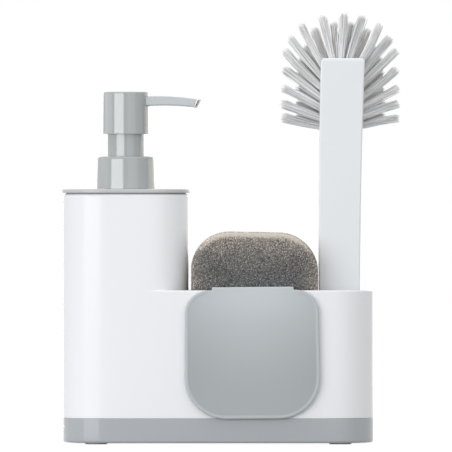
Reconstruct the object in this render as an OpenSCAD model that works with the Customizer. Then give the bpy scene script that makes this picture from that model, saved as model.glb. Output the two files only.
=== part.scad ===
// Sink caddy with a soap pump, a sponge, a dish brush and a plate that hangs over its front rim.
// Millimetres, +Z up, front towards -Y. The origin lies on the table, under the middle of the whole object.

/* [Caddy] */
// Room between the brush's foot and the end of the bay, which sets the caddy's length
brush_end_room = 6.3; // [5:0.1:30]
// Depth of the caddy, which also makes its ends half round
caddy_depth = 52; // [49:0.5:63]
// Wall thickness of the white moulding
wall = 2.4; // [2:0.1:3]
// Height of the bay's rim above the base
rim_height = 79.1; // [65:0.1:96]
// Rounding of the bay's rim
rim_round = 0.9; // [0.4:0.1:1]
// Thickness of the moulded floor
floor_thickness = 2.5; // [1.6:0.1:4]
// Height of the moulded floor's underside above the base
floor_rise = 2.8; // [1:0.1:6]

/* [Soap tower] */
// Length of the soap tower along the caddy
tower_length = 78; // [74:0.5:94]
// Height of the tower's rim above the base
tower_height = 138.7; // [120:0.1:168]
// Rounding of the tower's rim
tower_round = 1.8; // [0.6:0.1:2]

/* [Base] */
// Height of the grey base without its feet
base_height = 15.3; // [13:0.1:20]
// Rounding of the base's lower edge
base_round = 1.5; // [0.5:0.1:2]
// Thickness of the base's floor
tray_floor = 2.3; // [2:0.1:3]
// How far the feet stand out below the base
foot_proud = 0.9; // [0.6:0.1:2]
// Diameter of a foot
foot_diameter = 13.8; // [8:0.1:18]
// Distance between the feet along the caddy
foot_spacing_x = 151; // [100:1:160]
// Distance between the feet across the caddy
foot_spacing_y = 26; // [18:1:30]

/* [Lid] */
// Thickness of the lid
lid_thickness = 2.4; // [2:0.1:4]
// Overhang of the lid past the tower
lid_overhang = 0.6; // [0:0.1:1.5]
// Open gap between the tower's rim and the lid
lid_gap = 0.6; // [0.4:0.1:1]
// Depth of the lid's plug inside the tower
plug_depth = 6; // [4:0.5:12]
// Outside diameter of the threaded neck at the thread's crest
neck_diameter = 27.6; // [25:0.1:29]
// Pitch of the neck's thread
thread_pitch = 4.2; // [3:0.1:5]

/* [Pump] */
// Diameter of the collar at the lid
collar_diameter = 36.5; // [34:0.1:44]
// Narrowing of the collar from bottom to top, in diameter
collar_taper = 1.1; // [0:0.1:2]
// Height of the collar
collar_height = 20.2; // [18.6:0.1:26]
// Thickness of the collar's top, above the flanges that it clamps on the neck
collar_roof = 1.7; // [1.2:0.1:3]
// Rounding of the collar's top edge
collar_round = 1.6; // [0.5:0.1:1.8]
// Stroke of the pump
stroke = 13.5; // [8:0.5:15]
// Gap left under the head when it is pressed
head_rest_gap = 0.3; // [0.1:0.1:1]
// Diameter of the head at its lower edge
head_diameter = 28.8; // [27:0.1:34]
// Narrowing of the head from bottom to top, in diameter
head_taper = 0.5; // [0:0.1:1]
// Height of the head
head_height = 26.2; // [25:0.1:32]
// Rounding of the head's top edge
head_round = 1; // [0.4:0.1:1.2]
// Outside diameter of the pump cylinder
cylinder_diameter = 16; // [15:0.1:18]
// Wall of the pump cylinder
cylinder_wall = 1.5; // [1:0.1:1.8]
// Length of the pump cylinder below its flange
cylinder_length = 53; // [50:1:58]
// Outside diameter of the stem
stem_diameter = 7; // [6:0.1:8]
// Outside diameter of the dip tube
dip_diameter = 6; // [5:0.1:7]
// Number of turns in the return spring
spring_turns = 7; // [5:1:9]

/* [Spout] */
// Reach of the spout from the pump's axis
spout_reach = 46.9; // [35:0.1:56]
// Width of the spout
spout_width = 8.4; // [7:0.1:9.5]
// Height of the spout where it leaves the head
spout_height = 6.1; // [5:0.1:6.6]
// Height of the spout at its tip
spout_tip_height = 5.2; // [4.6:0.1:6]
// Drop of the tip below the root
spout_drop = 1.6; // [0:0.1:3]
// Turn of the spout towards the front at rest
spout_turn = 13; // [0:1:40]

/* [Front plate] */
// Width of the front plate
plate_width = 84.2; // [70:0.2:100]
// Height of the front plate without its bridge
plate_height = 79.6; // [65:0.2:80]
// Thickness of the front plate
plate_thickness = 3.4; // [2.4:0.1:5]
// Corner radius at the top of the plate
plate_top_radius = 16; // [8:0.5:22]
// Corner radius at the bottom of the plate
plate_bottom_radius = 23.5; // [10:0.5:30]
// Width of the bridge over the rim
bridge_width = 50.4; // [24:0.2:54]
// Thickness of the bridge over the rim
bridge_thickness = 1.9; // [1.4:0.1:3]
// Thickness of the leg inside the bay
leg_thickness = 1.6; // [1.2:0.1:2.4]
// Length of the leg inside the bay
leg_length = 30; // [15:1:45]

/* [Sponge] */
// Width of the sponge
sponge_width = 78.7; // [66:0.1:94]
// Height of the sponge
sponge_height = 109.6; // [90:0.2:130]
// Thickness of the sponge
sponge_thickness = 25; // [15:0.5:26]
// Corner radius of the sponge
sponge_radius = 21; // [12:0.5:26]
// Rounding of the sponge's edges
sponge_round = 2.6; // [1:0.1:4]

/* [Brush] */
// Length of the handle up to the join with the head
handle_length = 163.5; // [140:0.5:196]
// Length of the brush head above the join
head_piece_length = 53.7; // [51:0.1:64]
// Width of the handle at its foot
handle_width = 24.5; // [22:0.1:28]
// Width of the brush head at its top
brush_head_width = 27.2; // [26:0.1:30]
// Thickness of the handle
handle_thickness = 14; // [11:0.5:16]
// Rounding of the handle's long edges
handle_round = 2; // [1:0.1:3]
// Sideways sweep of the head from the handle's foot
brush_sweep = 2.2; // [0:0.1:4]
// Half width of the fan of bristles at its tips
fan_half_width = 35.2; // [30:0.2:42]
// Height from the fan's lowest tips to its top
fan_height = 63.2; // [54:0.2:70]
// Strands in each tuft of the rim and middle rows
tuft_strands = 8; // [5:1:9]

/* [Hidden] */
$fn = 96;

// Clearances, small details and the fineness of the faceted edges
cut = 1;
rest_gap = 0.3;
slide_gap = 0.3;
run_gap = 0.05;
snug_gap = 0.02;
edge_break = 0.3;
edge_steps = 3;
bar_corner_steps = 4;
plate_corner_steps = 8;
sponge_corner_steps = 7;
sponge_tower_gap = 1.3;
sponge_brush_gap = 1.2;
plate_offset = -0.7;
plate_wall_gap = 0.3;

// Plan of the caddy: the tower, then the sponge and the brush side by side in the bay
bay_length = sponge_tower_gap + sponge_width + sponge_brush_gap + handle_width + brush_end_room;
caddy_length = tower_length + bay_length + wall;
body_r = caddy_depth / 2;
inner_r = body_r - wall;
tower_x = (tower_length - caddy_length) / 2;
bay_left = tower_length - caddy_length / 2;
pump_x = tower_x;

// Heights
base_top = foot_proud + base_height;
rim_z = base_top + rim_height;
tower_top = base_top + tower_height;
floor_bottom = base_top + floor_rise;
floor_top = floor_bottom + floor_thickness;
lid_bottom = tower_top + lid_gap;
lid_top = lid_bottom + lid_thickness;
collar_lid_gap = 0.1;
collar_bottom = lid_top + collar_lid_gap;
collar_top = collar_bottom + collar_height;

// Base
tray_inside = foot_proud + tray_floor;
foot_sink = 0.8;
foot_recess_gap = 0.05;
skirt_depth = 4;
skirt_wall = 1.8;
skirt_r = inner_r - slide_gap;
slot_width = 12;
slot_height = 1.3;
slot_drop = 5.8;

// Floor drains and brush socket
drain_width = 3;
drain_length = 28;
drain_pitch = 9.5;
drain_count = 7;
drain_side = 12;
socket_height = 9;
socket_wall = 1.6;
socket_gap = 0.4;
socket_drain_length = 8;

// Lid and seal
lid_edge_round = 0.9;
lid_low_round = 0.5;
plug_inset = 1;
plug_wall = 1.6;
seal_lip = 0.35;
neck_wall = 1.6;
thread_depth = 0.9;
thread_width = 1.3;
thread_turns = 1.5;
thread_start = 3.5;
thread_sides = 30;
thread_sink = 0.4;
thread_run_in = 5;
thread_end_share = 0.2;
neck_core_r = neck_diameter / 2 - thread_depth;
neck_bore_r = neck_core_r - neck_wall;
gasket_thickness = 1;
flange_thickness = 1.4;
sleeve_flange = 1.2;
neck_top = collar_top - collar_roof - sleeve_flange - flange_thickness - gasket_thickness;

// Pump, from the neck upwards
gasket_top = neck_top + gasket_thickness;
flange_top = gasket_top + flange_thickness;
shoulder_z = flange_top + sleeve_flange;
head_wall = 1.8;
head_sleeve_gap = 0.9;
sleeve_diameter = head_diameter - head_taper - 2 * (head_wall + head_sleeve_gap);
sleeve_wall = 1.4;
sleeve_web = 2.2;
sleeve_plug_length = 4.4;
head_bottom = collar_top + head_rest_gap + stroke;
head_top = head_bottom + head_height;
thread_gap = 0.3;
collar_bore_r = neck_diameter / 2 + thread_gap;

// Pump cylinder and its plunger
cylinder_r = cylinder_diameter / 2;
cylinder_bore_r = cylinder_r - cylinder_wall;
cylinder_bottom = gasket_top - cylinder_length;
cylinder_floor = 2;
ball_diameter = 4.6;
ball_cage_height = 6;
ball_cage_r = ball_diameter / 2 + slide_gap;
ball_seat_r = 1.7;
cage_wall = 1.4;
dip_socket_length = 10;
dip_socket_wall = 1.2;
dip_wall = 0.8;
dip_floor_gap = 2.5;
dip_cut_angle = 30;
stem_wall = 1.5;
stem_seat = 0.5;
stem_r = stem_diameter / 2;
stem_bore_r = stem_r - stem_wall;
piston_length = 8;
piston_stop_gap = 0.2;
piston_lip = 1.2;
piston_waist = 1;
piston_top = flange_top - sleeve_plug_length - piston_stop_gap;
piston_bottom = piston_top - piston_length;
cage_top = cylinder_bottom + ball_cage_height;
spring_wire = 0.9;
spring_cage_gap = 0.45;
spring_r = ball_cage_r + cage_wall + spring_cage_gap + spring_wire / 2;
spring_rings = 8;
spring_sides = 6;

// Head
head_roof = 1.8;
stem_boss_r = stem_r + stem_wall;
boss_depth = 7.5;
stem_top_gap = 0.7;
spout_top_inset = 2.8;
spout_gap = 0.1;
spout_root_back = 2.5;
spout_top = head_top - spout_top_inset;
spout_z = spout_top - spout_height / 2;
carrier_floor = 1.6;
carrier_z = spout_top - spout_height - spout_gap - carrier_floor;
stem_top = carrier_z - stem_top_gap;
sleeve_top = carrier_z - stroke - slide_gap;
carrier_wall = 1.6;
riser_r = 1.4;
spout_bore_width = 3.2;
spout_bore_height = 3.4;
level_bore_share = 0.35;
spout_corner = 0.9;
spout_slant = 0.52;
spout_steps = 10;
spout_crown = 0.35;

// Front plate
plate_round = 0.9;
plate_back_round = 0.4;
plate_flare = 0.7;
plate_back = -body_r - plate_wall_gap;
plate_face = plate_back - plate_thickness;
plate_top = rim_z;
plate_bottom = plate_top - plate_height;
leg_front = -inner_r + plate_wall_gap;

// Sponge
sponge_x = bay_left + sponge_tower_gap + sponge_width / 2;
sponge_front = leg_front + leg_thickness + rest_gap;
sponge_bottom = floor_top + rest_gap;
plate_x = sponge_x + plate_offset;

// Brush
brush_x = sponge_x + sponge_width / 2 + sponge_brush_gap + handle_width / 2;
brush_foot = floor_top + rest_gap;
join_z = brush_foot + handle_length;
brush_top = join_z + head_piece_length;
brush_length = handle_length + head_piece_length;
sweep_power = 3;
head_corner = 1.7;
join_break = 0.25;
handle_steps = 10;
tenon_width = 12;
tenon_thickness = 6;
tenon_length = 12;
tenon_gap = 0.1;
head_back_step = 4.8;
block_half_width = 8.5;
block_low = 8;
block_top_inset = 4;
block_slice = 2.6;
block_front = handle_thickness / 2 - head_back_step;
fan_offset = -1.2;
fan_low = 16.9;
fan_center_x = brush_x + brush_sweep + fan_offset;
fan_low_z = join_z + fan_low;
root_low_z = join_z + block_low + block_slice;
root_top_z = brush_top - block_top_inset;
strand_sides = 3;
strand_r = 0.3;
tuft_root_r = 0.8;
tuft_tip_r = 1.8;
root_sink = 0.8;
root_cover = 0.5;
rim_lean = 8;
mid_lean = 17;
mid_reach_share = 0.84;
trim_share = 0.05;
golden_angle = 137.5;
back_rows = 5;
back_columns = 4;
back_length = 17;
back_flare_share = 0.55;
// Places of half the rim tufts from the lowest to the top one, as shares of the fan's half width and height
tip_x_shares = [0.97, 0.98, 0.98, 0.97, 0.95, 0.85, 0.66, 0.34];
tip_z_shares = [0, 0.13, 0.275, 0.456, 0.62, 0.75, 0.874, 0.97];
// The same tufts' roots, as shares of the tuft block's half width and height
root_x_shares = [1, 1, 1, 1, 1, 1, 1, 0.5];
root_z_shares = [0, 0.12, 0.26, 0.42, 0.58, 0.73, 0.88, 1];

// The whole object's middle, which the origin lies under
reach_left = caddy_length / 2 + lid_overhang;
reach_right = fan_center_x + fan_half_width + tuft_tip_r;
reach_front = -plate_face;
bristle_back = block_front + 3 * block_slice + back_length;
reach_back = max(body_r, bristle_back);
frame_x = (reach_left - reach_right) / 2;
frame_y = (reach_front - reach_back) / 2;

// Puts a piece that is drawn round the caddy's middle into the object's frame
module placed() {
    translate([frame_x, frame_y, 0]) children();
}

// Carries a profile of radius and height round a plan with half-round ends
module stadium_sweep(length, r) {
    straight = length - 2 * r;
    for (side = [0, 1]) {
        mirror([side, 0, 0]) translate([straight / 2, 0, 0]) rotate([0, 0, -90]) rotate_extrude(angle = 180)
            children();
    }
    rotate([90, 0, 90]) linear_extrude(straight, center = true) {
        children();
        mirror([1, 0, 0]) children();
    }
}

// A filled plan with half-round ends
module stadium(length, r) {
    straight = length - 2 * r;
    for (side = [-1, 1]) {
        translate([side * straight / 2, 0, 0]) circle(r);
    }
    square([straight, 2 * r], center = true);
}

// What a rounding takes off a profile's corner: the corner is at the origin, the profile lies at -x, -y
module corner_off(r) {
    translate([-r, -r]) difference() {
        square(r + cut);
        circle(r);
    }
}

// Profile of a band from radius r0 to r1 and height z0 to z1, rounded at its upper outer edge
// and, where they are given, at its lower outer and upper inner edges
module band(r0, r1, z0, z1, top = 0, low = 0, inside = 0) {
    difference() {
        translate([r0, z0]) square([r1 - r0, z1 - z0]);
        if (top > 0) {
            translate([r1, z1]) corner_off(top);
        }
        if (low > 0) {
            translate([r1, z0]) mirror([0, 1]) corner_off(low);
        }
        if (inside > 0) {
            translate([r0, z1]) mirror([1, 0]) corner_off(inside);
        }
    }
}

// A plain tube on the z axis
module tube(r_out, r_in, z0, z1) {
    translate([0, 0, z0]) difference() {
        cylinder(h = z1 - z0, r = r_out);
        translate([0, 0, -cut]) cylinder(h = z1 - z0 + 2 * cut, r = r_in);
    }
}

// Points of an arc from angle a0 to a1
function arc(cx, cz, r, a0, a1, steps) =
    [for (i = [0:steps]) let (a = a0 + (a1 - a0) * i / steps) [cx + r * cos(a), cz + r * sin(a)]];

// Outline of an upright rectangle with one radius at its top and one at its bottom, anticlockwise
// Its widest place lies at the lower corners, and the sides draw in by the flare towards the top
function soft_outline(w, z0, z1, r_top, r_low, flare, steps) = concat(
    arc(w / 2 - r_low, z0 + r_low, r_low, -90, 0, steps),
    arc(w / 2 - flare - r_top, z1 - r_top, r_top, 0, 90, steps),
    arc(-w / 2 + flare + r_top, z1 - r_top, r_top, 90, 180, steps),
    arc(-w / 2 + r_low, z0 + r_low, r_low, 180, 270, steps));

// Faces of a closed skin over rings of n points each
function skin_faces(n, rings) = concat(
    [[for (i = [0:n - 1]) i]],
    [for (k = [0:rings - 2], i = [0:n - 1]) [k * n + i, (k + 1) * n + i, (k + 1) * n + (i + 1) % n]],
    [for (k = [0:rings - 2], i = [0:n - 1]) [k * n + i, (k + 1) * n + (i + 1) % n, k * n + (i + 1) % n]],
    [[for (i = [n - 1:-1:0]) (rings - 1) * n + i]]);

// A closed skin over a list of rings, each anticlockwise round the way the list goes
module skin(rings) {
    polyhedron(points = [for (ring = rings) for (p = ring) p], faces = skin_faces(len(rings[0]), len(rings)));
}

// Place along a thickness and draw-in of an outline for each ring of a rounded slab
function slab_steps(front, back, r_front, r_back, steps) = concat(
    [for (i = [0:steps]) let (a = 90 * i / steps)
        [back - r_back * (1 - sin(a)), r_back * (1 - cos(90 - a))]],
    [for (i = [0:steps]) let (a = 90 * i / steps)
        [front + r_front * (1 - sin(90 - a)), r_front * (1 - cos(a))]]);

// The grey base: a cup that the white moulding plugs into
module base_tray() {
    color([0.66, 0.69, 0.7]) placed() difference() {
        stadium_sweep(caddy_length, body_r)
            band(0, body_r, foot_proud, base_top, edge_break, base_round);
        translate([0, 0, tray_inside]) linear_extrude(base_height) stadium(caddy_length - 2 * wall, inner_r);
        for (sx = [-1, 1], sy = [-1, 1]) {
            translate([sx * foot_spacing_x / 2, sy * foot_spacing_y / 2, foot_proud - cut])
                cylinder(h = foot_sink + cut, d = foot_diameter + 2 * foot_recess_gap);
        }
        translate([-caddy_length / 2 - cut, -slot_width / 2, base_top - slot_drop])
            cube([wall + 2 * cut + wall, slot_width, slot_height]);
    }
}

// Four soft pads in recesses under the base
module base_feet() {
    color([0.6, 0.62, 0.63]) placed() for (sx = [-1, 1], sy = [-1, 1]) {
        translate([sx * foot_spacing_x / 2, sy * foot_spacing_y / 2, 0])
            rotate_extrude() band(0, foot_diameter / 2, 0, foot_proud + foot_sink, 0, edge_break);
    }
}

// Half width of the handle at a height, from its foot to the head's top
function handle_half(z) =
    (handle_width + (brush_head_width - handle_width) * (z - brush_foot) / brush_length) / 2;

// Sideways place of the brush's middle at a height
function sweep_at(z) = brush_x + brush_sweep * pow(max(0, z - brush_foot) / brush_length, sweep_power);

// Low ribs on the bay's floor that hold the foot of the brush
module brush_socket() {
    half_x = handle_half(brush_foot + socket_height) + socket_gap;
    half_y = handle_thickness / 2 + socket_gap;
    sunk = floor_thickness / 2;
    translate([brush_x, 0, floor_top - sunk]) linear_extrude(socket_height + sunk) difference() {
        square([2 * (half_x + socket_wall), 2 * (half_y + socket_wall)], center = true);
        square([2 * half_x, 2 * half_y], center = true);
    }
}

// Drain slots in the bay's floor, in a row under the sponge and one pair in the brush's socket
module drain_slots() {
    first = bay_left + drain_side;
    depth = floor_thickness + 2 * cut;
    for (i = [0:drain_count - 1]) {
        translate([first + i * drain_pitch, -drain_length / 2, floor_bottom - cut])
            cube([drain_width, drain_length, depth]);
    }
    for (side = [-1.5, 0.5]) {
        translate([brush_x + side * drain_width, -socket_drain_length / 2, floor_bottom - cut])
            cube([drain_width, socket_drain_length, depth]);
    }
}

// The white moulding: bay wall, soap tower, floor, plug skirt and brush socket
module caddy_body() {
    color([0.93, 0.94, 0.95]) placed() difference() {
        union() {
            stadium_sweep(caddy_length, body_r)
                band(inner_r, body_r, base_top, rim_z, rim_round, edge_break, rim_round);
            translate([tower_x, 0, 0]) stadium_sweep(tower_length, body_r)
                band(inner_r, body_r, floor_bottom, tower_top, tower_round, 0, edge_break);
            translate([0, 0, floor_bottom]) linear_extrude(floor_thickness)
                stadium(caddy_length - wall, body_r - wall / 2);
            stadium_sweep(caddy_length - 2 * (body_r - skirt_r), skirt_r)
                band(skirt_r - skirt_wall, skirt_r, base_top - skirt_depth,
                    floor_bottom + floor_thickness / 2);
            brush_socket();
        }
        drain_slots();
    }
}

// Rings of a screw ridge from its foot, sunk into the wall that carries it, to its crest on either side
function ridge_rings(r_foot, r_crest, z0, way) = let (steps = thread_turns * thread_sides)
    [for (i = [0:steps]) let (
        a = 360 * i / thread_sides,
        z = z0 + thread_pitch * i / thread_sides,
        grown_share = min(1, thread_end_share + min(i, steps - i) / thread_run_in),
        r = r_foot + (r_crest - r_foot) * grown_share)
        [for (q = [[r_foot, -thread_width / 2], [r, -thread_width / 6], [r, thread_width / 6],
            [r_foot, thread_width / 2]]) [q[0] * cos(a), q[0] * sin(a), z - way * q[1]]]];

// The grey lid with its plug, the pump's neck and the neck's thread
module lid_plate() {
    color([0.74, 0.75, 0.76]) placed() translate([tower_x, 0, 0]) {
        difference() {
            union() {
                stadium_sweep(tower_length + 2 * lid_overhang, body_r + lid_overhang)
                    band(0, body_r + lid_overhang, lid_bottom, lid_top, lid_edge_round, lid_low_round);
                stadium_sweep(tower_length - 2 * (wall + plug_inset), inner_r - plug_inset)
                    band(inner_r - plug_inset - plug_wall, inner_r - plug_inset,
                        lid_bottom - plug_depth, lid_bottom + lid_thickness / 2);
                cylinder(h = neck_top, r = neck_core_r);
                skin(ridge_rings(neck_core_r - thread_sink, neck_diameter / 2, lid_top + thread_start, 1));
            }
            translate([0, 0, -cut]) cylinder(h = lid_bottom + cut, r = neck_core_r + cut);
            cylinder(h = neck_top + cut, r = neck_bore_r);
        }
    }
}

// Soft ring that seals the lid's plug in the tower: a flange on the rim and a sleeve with a lip
module lid_seal() {
    plug_r = inner_r - plug_inset;
    length = tower_length - 2 * (wall + plug_inset);
    color([0.62, 0.63, 0.64]) placed() translate([tower_x, 0, 0]) {
        stadium_sweep(length, plug_r) union() {
            band(plug_r, inner_r + wall - tower_round, tower_top, lid_bottom);
            band(plug_r, inner_r - slide_gap - seal_lip, lid_bottom - plug_depth, lid_bottom - lid_gap / 2);
            band(plug_r, inner_r - slide_gap, lid_bottom - plug_depth / 2 - seal_lip,
                lid_bottom - plug_depth / 2);
        }
    }
}

// Housing of the pump: flange, bore, ball cage and the socket for the dip tube
module pump_cylinder() {
    socket_r = dip_diameter / 2 + snug_gap;
    color([0.88, 0.89, 0.9]) placed() translate([pump_x, 0, 0]) difference() {
        union() {
            translate([0, 0, gasket_top]) cylinder(h = flange_thickness, r = neck_core_r);
            translate([0, 0, cylinder_bottom])
                cylinder(h = cylinder_length + flange_thickness / 2, r = cylinder_r);
            translate([0, 0, cylinder_bottom - dip_socket_length])
                cylinder(h = dip_socket_length + cut, r = socket_r + dip_socket_wall);
            tube(ball_cage_r + cage_wall, ball_cage_r, cylinder_bottom, cage_top);
        }
        difference() {
            translate([0, 0, cylinder_bottom + cylinder_floor])
                cylinder(h = cylinder_length + cut, r = cylinder_bore_r);
            translate([0, 0, cylinder_bottom]) cylinder(h = ball_cage_height, r = ball_cage_r + cage_wall);
        }
        translate([0, 0, cylinder_bottom + cylinder_floor]) cylinder(h = ball_cage_height, r = ball_cage_r);
        translate([0, 0, cylinder_bottom - cut]) cylinder(h = cylinder_floor + 2 * cut, r = ball_seat_r);
        translate([0, 0, cylinder_bottom - dip_socket_length - cut])
            cylinder(h = dip_socket_length + cut, r = socket_r);
    }
}

// Flat ring that seals the pump on the neck
module collar_gasket() {
    color([0.95, 0.95, 0.93]) placed() translate([pump_x, 0, 0])
        tube(neck_core_r, cylinder_r + run_gap, neck_top, gasket_top);
}

// Fixed sleeve round the stem, with the flange that the collar clamps and the plug that stops the piston
module neck_sleeve() {
    sleeve_r = sleeve_diameter / 2;
    color([0.69, 0.71, 0.72]) placed() translate([pump_x, 0, 0]) difference() {
        union() {
            translate([0, 0, flange_top]) cylinder(h = sleeve_flange, r = neck_core_r);
            rotate_extrude() band(0, sleeve_r, flange_top, sleeve_top, edge_break);
            translate([0, 0, flange_top - sleeve_plug_length])
                cylinder(h = sleeve_plug_length + cut, r = cylinder_bore_r - snug_gap);
        }
        translate([0, 0, flange_top + sleeve_web]) cylinder(h = sleeve_top, r = sleeve_r - sleeve_wall);
        translate([0, 0, flange_top - sleeve_plug_length - cut])
            cylinder(h = sleeve_plug_length + sleeve_web + 2 * cut, r = stem_r + run_gap);
    }
}

// Check valve ball at the foot of the cylinder
module inlet_ball() {
    seat_rise = sqrt(pow(ball_diameter / 2, 2) - pow(ball_seat_r, 2));
    ball_z = cylinder_bottom + cylinder_floor + seat_rise + snug_gap;
    color([0.8, 0.8, 0.82]) placed() translate([pump_x, 0, ball_z]) sphere(d = ball_diameter);
}

// Tube from the pump to the soap tower's floor, cut aslant at its foot
module dip_tube() {
    top = cylinder_bottom - snug_gap;
    foot = floor_top + dip_floor_gap;
    color([0.86, 0.88, 0.9]) placed() translate([pump_x, 0, 0]) difference() {
        tube(dip_diameter / 2, dip_diameter / 2 - dip_wall, foot, top);
        translate([-dip_diameter / 2, 0, foot]) rotate([0, dip_cut_angle, 0])
            translate([-dip_diameter, -dip_diameter, -2 * dip_diameter])
                cube([4 * dip_diameter, 2 * dip_diameter, 2 * dip_diameter]);
    }
}

// Screw collar that clamps the pump on the neck
module collar() {
    r_low = collar_diameter / 2;
    r_top = r_low - collar_taper / 2;
    color([0.68, 0.7, 0.71]) placed() translate([pump_x, 0, 0]) union() {
        rotate_extrude() difference() {
            polygon([[0, collar_bottom], [r_low, collar_bottom], [r_top, collar_top], [0, collar_top]]);
            translate([r_top, collar_top]) corner_off(collar_round);
            square([collar_bore_r, shoulder_z]);
            square([sleeve_diameter / 2 + slide_gap, collar_top + cut]);
        }
        skin(ridge_rings(collar_bore_r + thread_sink, collar_bore_r - thread_depth,
            lid_top + thread_start + thread_pitch / 2, -1));
    }
}

// Coil spring under the piston
module return_spring() {
    z0 = cylinder_bottom + cylinder_floor + spring_wire / 2;
    z1 = piston_bottom - spring_wire / 2 - snug_gap;
    steps = spring_turns * spring_rings;
    rings = [for (i = [0:steps]) let (a = 360 * i / spring_rings, z = z0 + (z1 - z0) * i / steps)
        [for (j = [0:spring_sides - 1])
            let (b = -360 * j / spring_sides, r = spring_r + spring_wire / 2 * cos(b))
            [r * cos(a), r * sin(a), z + spring_wire / 2 * sin(b)]]];
    color([0.75, 0.75, 0.77]) placed() translate([pump_x, 0, 0]) skin(rings);
}

// Piston with two sealing lips and a waist between them
module piston() {
    lip_r = cylinder_bore_r - run_gap;
    color([0.9, 0.9, 0.92]) placed() translate([pump_x, 0, 0]) difference() {
        union() {
            translate([0, 0, piston_bottom]) cylinder(h = piston_length, r = lip_r - piston_waist);
            for (z = [piston_bottom, piston_top - piston_lip]) {
                translate([0, 0, z]) cylinder(h = piston_lip, r = lip_r);
            }
        }
        translate([0, 0, piston_bottom + stem_seat]) cylinder(h = piston_length + cut, r = stem_r + snug_gap);
        translate([0, 0, piston_bottom - cut]) cylinder(h = piston_length + cut, r = stem_bore_r);
    }
}

// Hollow stem from the piston up into the head
module piston_stem() {
    color([0.87, 0.88, 0.89]) placed() translate([pump_x, 0, 0])
        tube(stem_r, stem_bore_r, piston_bottom + stem_seat, stem_top);
}

// Turns what belongs to the spout to the side that it points to
module spout_side() {
    placed() translate([pump_x, 0, 0]) rotate([0, 0, -spout_turn]) children();
}

// Pump head: a cap with a stem boss and a carrier for the spout, which leaves through a window
module head_cap() {
    r_low = head_diameter / 2;
    r_top = r_low - head_taper / 2;
    inner = r_top - head_wall;
    pocket_half = spout_width / 2 + spout_gap;
    carrier_half = pocket_half + carrier_wall;
    color([0.69, 0.71, 0.72]) spout_side() difference() {
        union() {
            rotate_extrude() difference() {
                polygon([[0, head_bottom], [r_low, head_bottom], [r_top, head_top], [0, head_top]]);
                translate([r_top, head_top]) corner_off(head_round);
                translate([r_low, head_bottom]) mirror([0, 1]) corner_off(edge_break);
                square([inner, head_top - head_roof]);
            }
            intersection() {
                translate([-spout_root_back - carrier_wall, -carrier_half, carrier_z])
                    cube([head_diameter, 2 * carrier_half, head_top - head_roof / 2 - carrier_z]);
                cylinder(h = head_top, r = inner + head_wall / 2);
            }
            translate([0, 0, carrier_z - boss_depth])
                cylinder(h = boss_depth + carrier_floor / 2, r = stem_boss_r);
        }
        translate([-spout_root_back - spout_gap, -pocket_half, spout_top - spout_height - spout_gap])
            cube([head_diameter, 2 * pocket_half, spout_height + 2 * spout_gap]);
        translate([0, 0, carrier_z - boss_depth - cut])
            cylinder(h = boss_depth + cut, r = stem_r + run_gap);
        translate([0, 0, carrier_z - cut]) cylinder(h = carrier_floor + 2 * cut, r = riser_r);
    }
}

// One cross section of the spout at a share of its way out
function spout_ring(share) = let (
    x = -spout_root_back + (spout_reach + spout_root_back) * share,
    out_share = max(0, (x - head_diameter / 2) / (spout_reach - head_diameter / 2)),
    h = spout_height + (spout_tip_height - spout_height) * out_share,
    z = spout_z - spout_drop * pow(out_share, 2) + spout_crown * sin(180 * out_share),
    lean = share == 1 ? spout_slant : 0,
    w = spout_width / 2 - spout_corner,
    t = h / 2 - spout_corner)
    [for (p = concat(
        arc(w, t, spout_corner, 0, 90, edge_steps), arc(-w, t, spout_corner, 90, 180, edge_steps),
        arc(-w, -t, spout_corner, 180, 270, edge_steps), arc(w, -t, spout_corner, 270, 360, edge_steps)))
        [x + lean * (p[1] - h / 2), p[0], z + p[1]]];

// The spout, with its channel and slit outlet
module spout() {
    bend_x = spout_reach * level_bore_share;
    end_x = spout_reach + cut;
    end_z = spout_z - spout_drop * (end_x - bend_x) / (spout_reach - bend_x);
    line = [[0, spout_z], [bend_x, spout_z], [end_x, end_z]];
    half = [0, spout_bore_height / 2];
    color([0.77, 0.8, 0.82]) spout_side() difference() {
        skin([for (i = [0:spout_steps]) spout_ring(i / spout_steps)]);
        rotate([90, 0, 0]) linear_extrude(spout_bore_width, center = true)
            polygon(concat([for (p = line) p - half], [for (i = [2:-1:0]) line[i] + half]));
        translate([0, 0, spout_z - spout_height]) cylinder(h = spout_height, r = riser_r);
    }
}

// Plate in front of the bay, its bridge over the rim and the leg behind the wall
module front_plate() {
    levels = slab_steps(plate_face, plate_back, plate_round, plate_back_round, edge_steps);
    rings = [for (s = levels) [for (p = soft_outline(
        plate_width - 2 * s[1], plate_bottom + s[1], plate_top - s[1],
        plate_top_radius - s[1], plate_bottom_radius - s[1], plate_flare, plate_corner_steps))
        [plate_x + p[0], s[0], p[1]]]];
    bridge_top = rim_z + bridge_thickness;
    leg_back = leg_front + leg_thickness;
    color([0.7, 0.73, 0.74]) placed() union() {
        skin(rings);
        translate([plate_x - bridge_width / 2, 0, 0]) rotate([90, 0, 90]) linear_extrude(bridge_width)
            difference() {
                union() {
                    translate([plate_face, rim_z]) square([leg_back - plate_face, bridge_thickness]);
                    translate([plate_face, rim_z - plate_top_radius])
                        square([plate_thickness, plate_top_radius + bridge_thickness / 2]);
                    translate([leg_front, bridge_top - leg_length])
                        square([leg_thickness, leg_length - bridge_thickness / 2]);
                }
                translate([plate_face, bridge_top]) mirror([1, 0]) corner_off(plate_round);
                translate([leg_back, bridge_top]) corner_off(plate_round);
            }
    }
}

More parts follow.
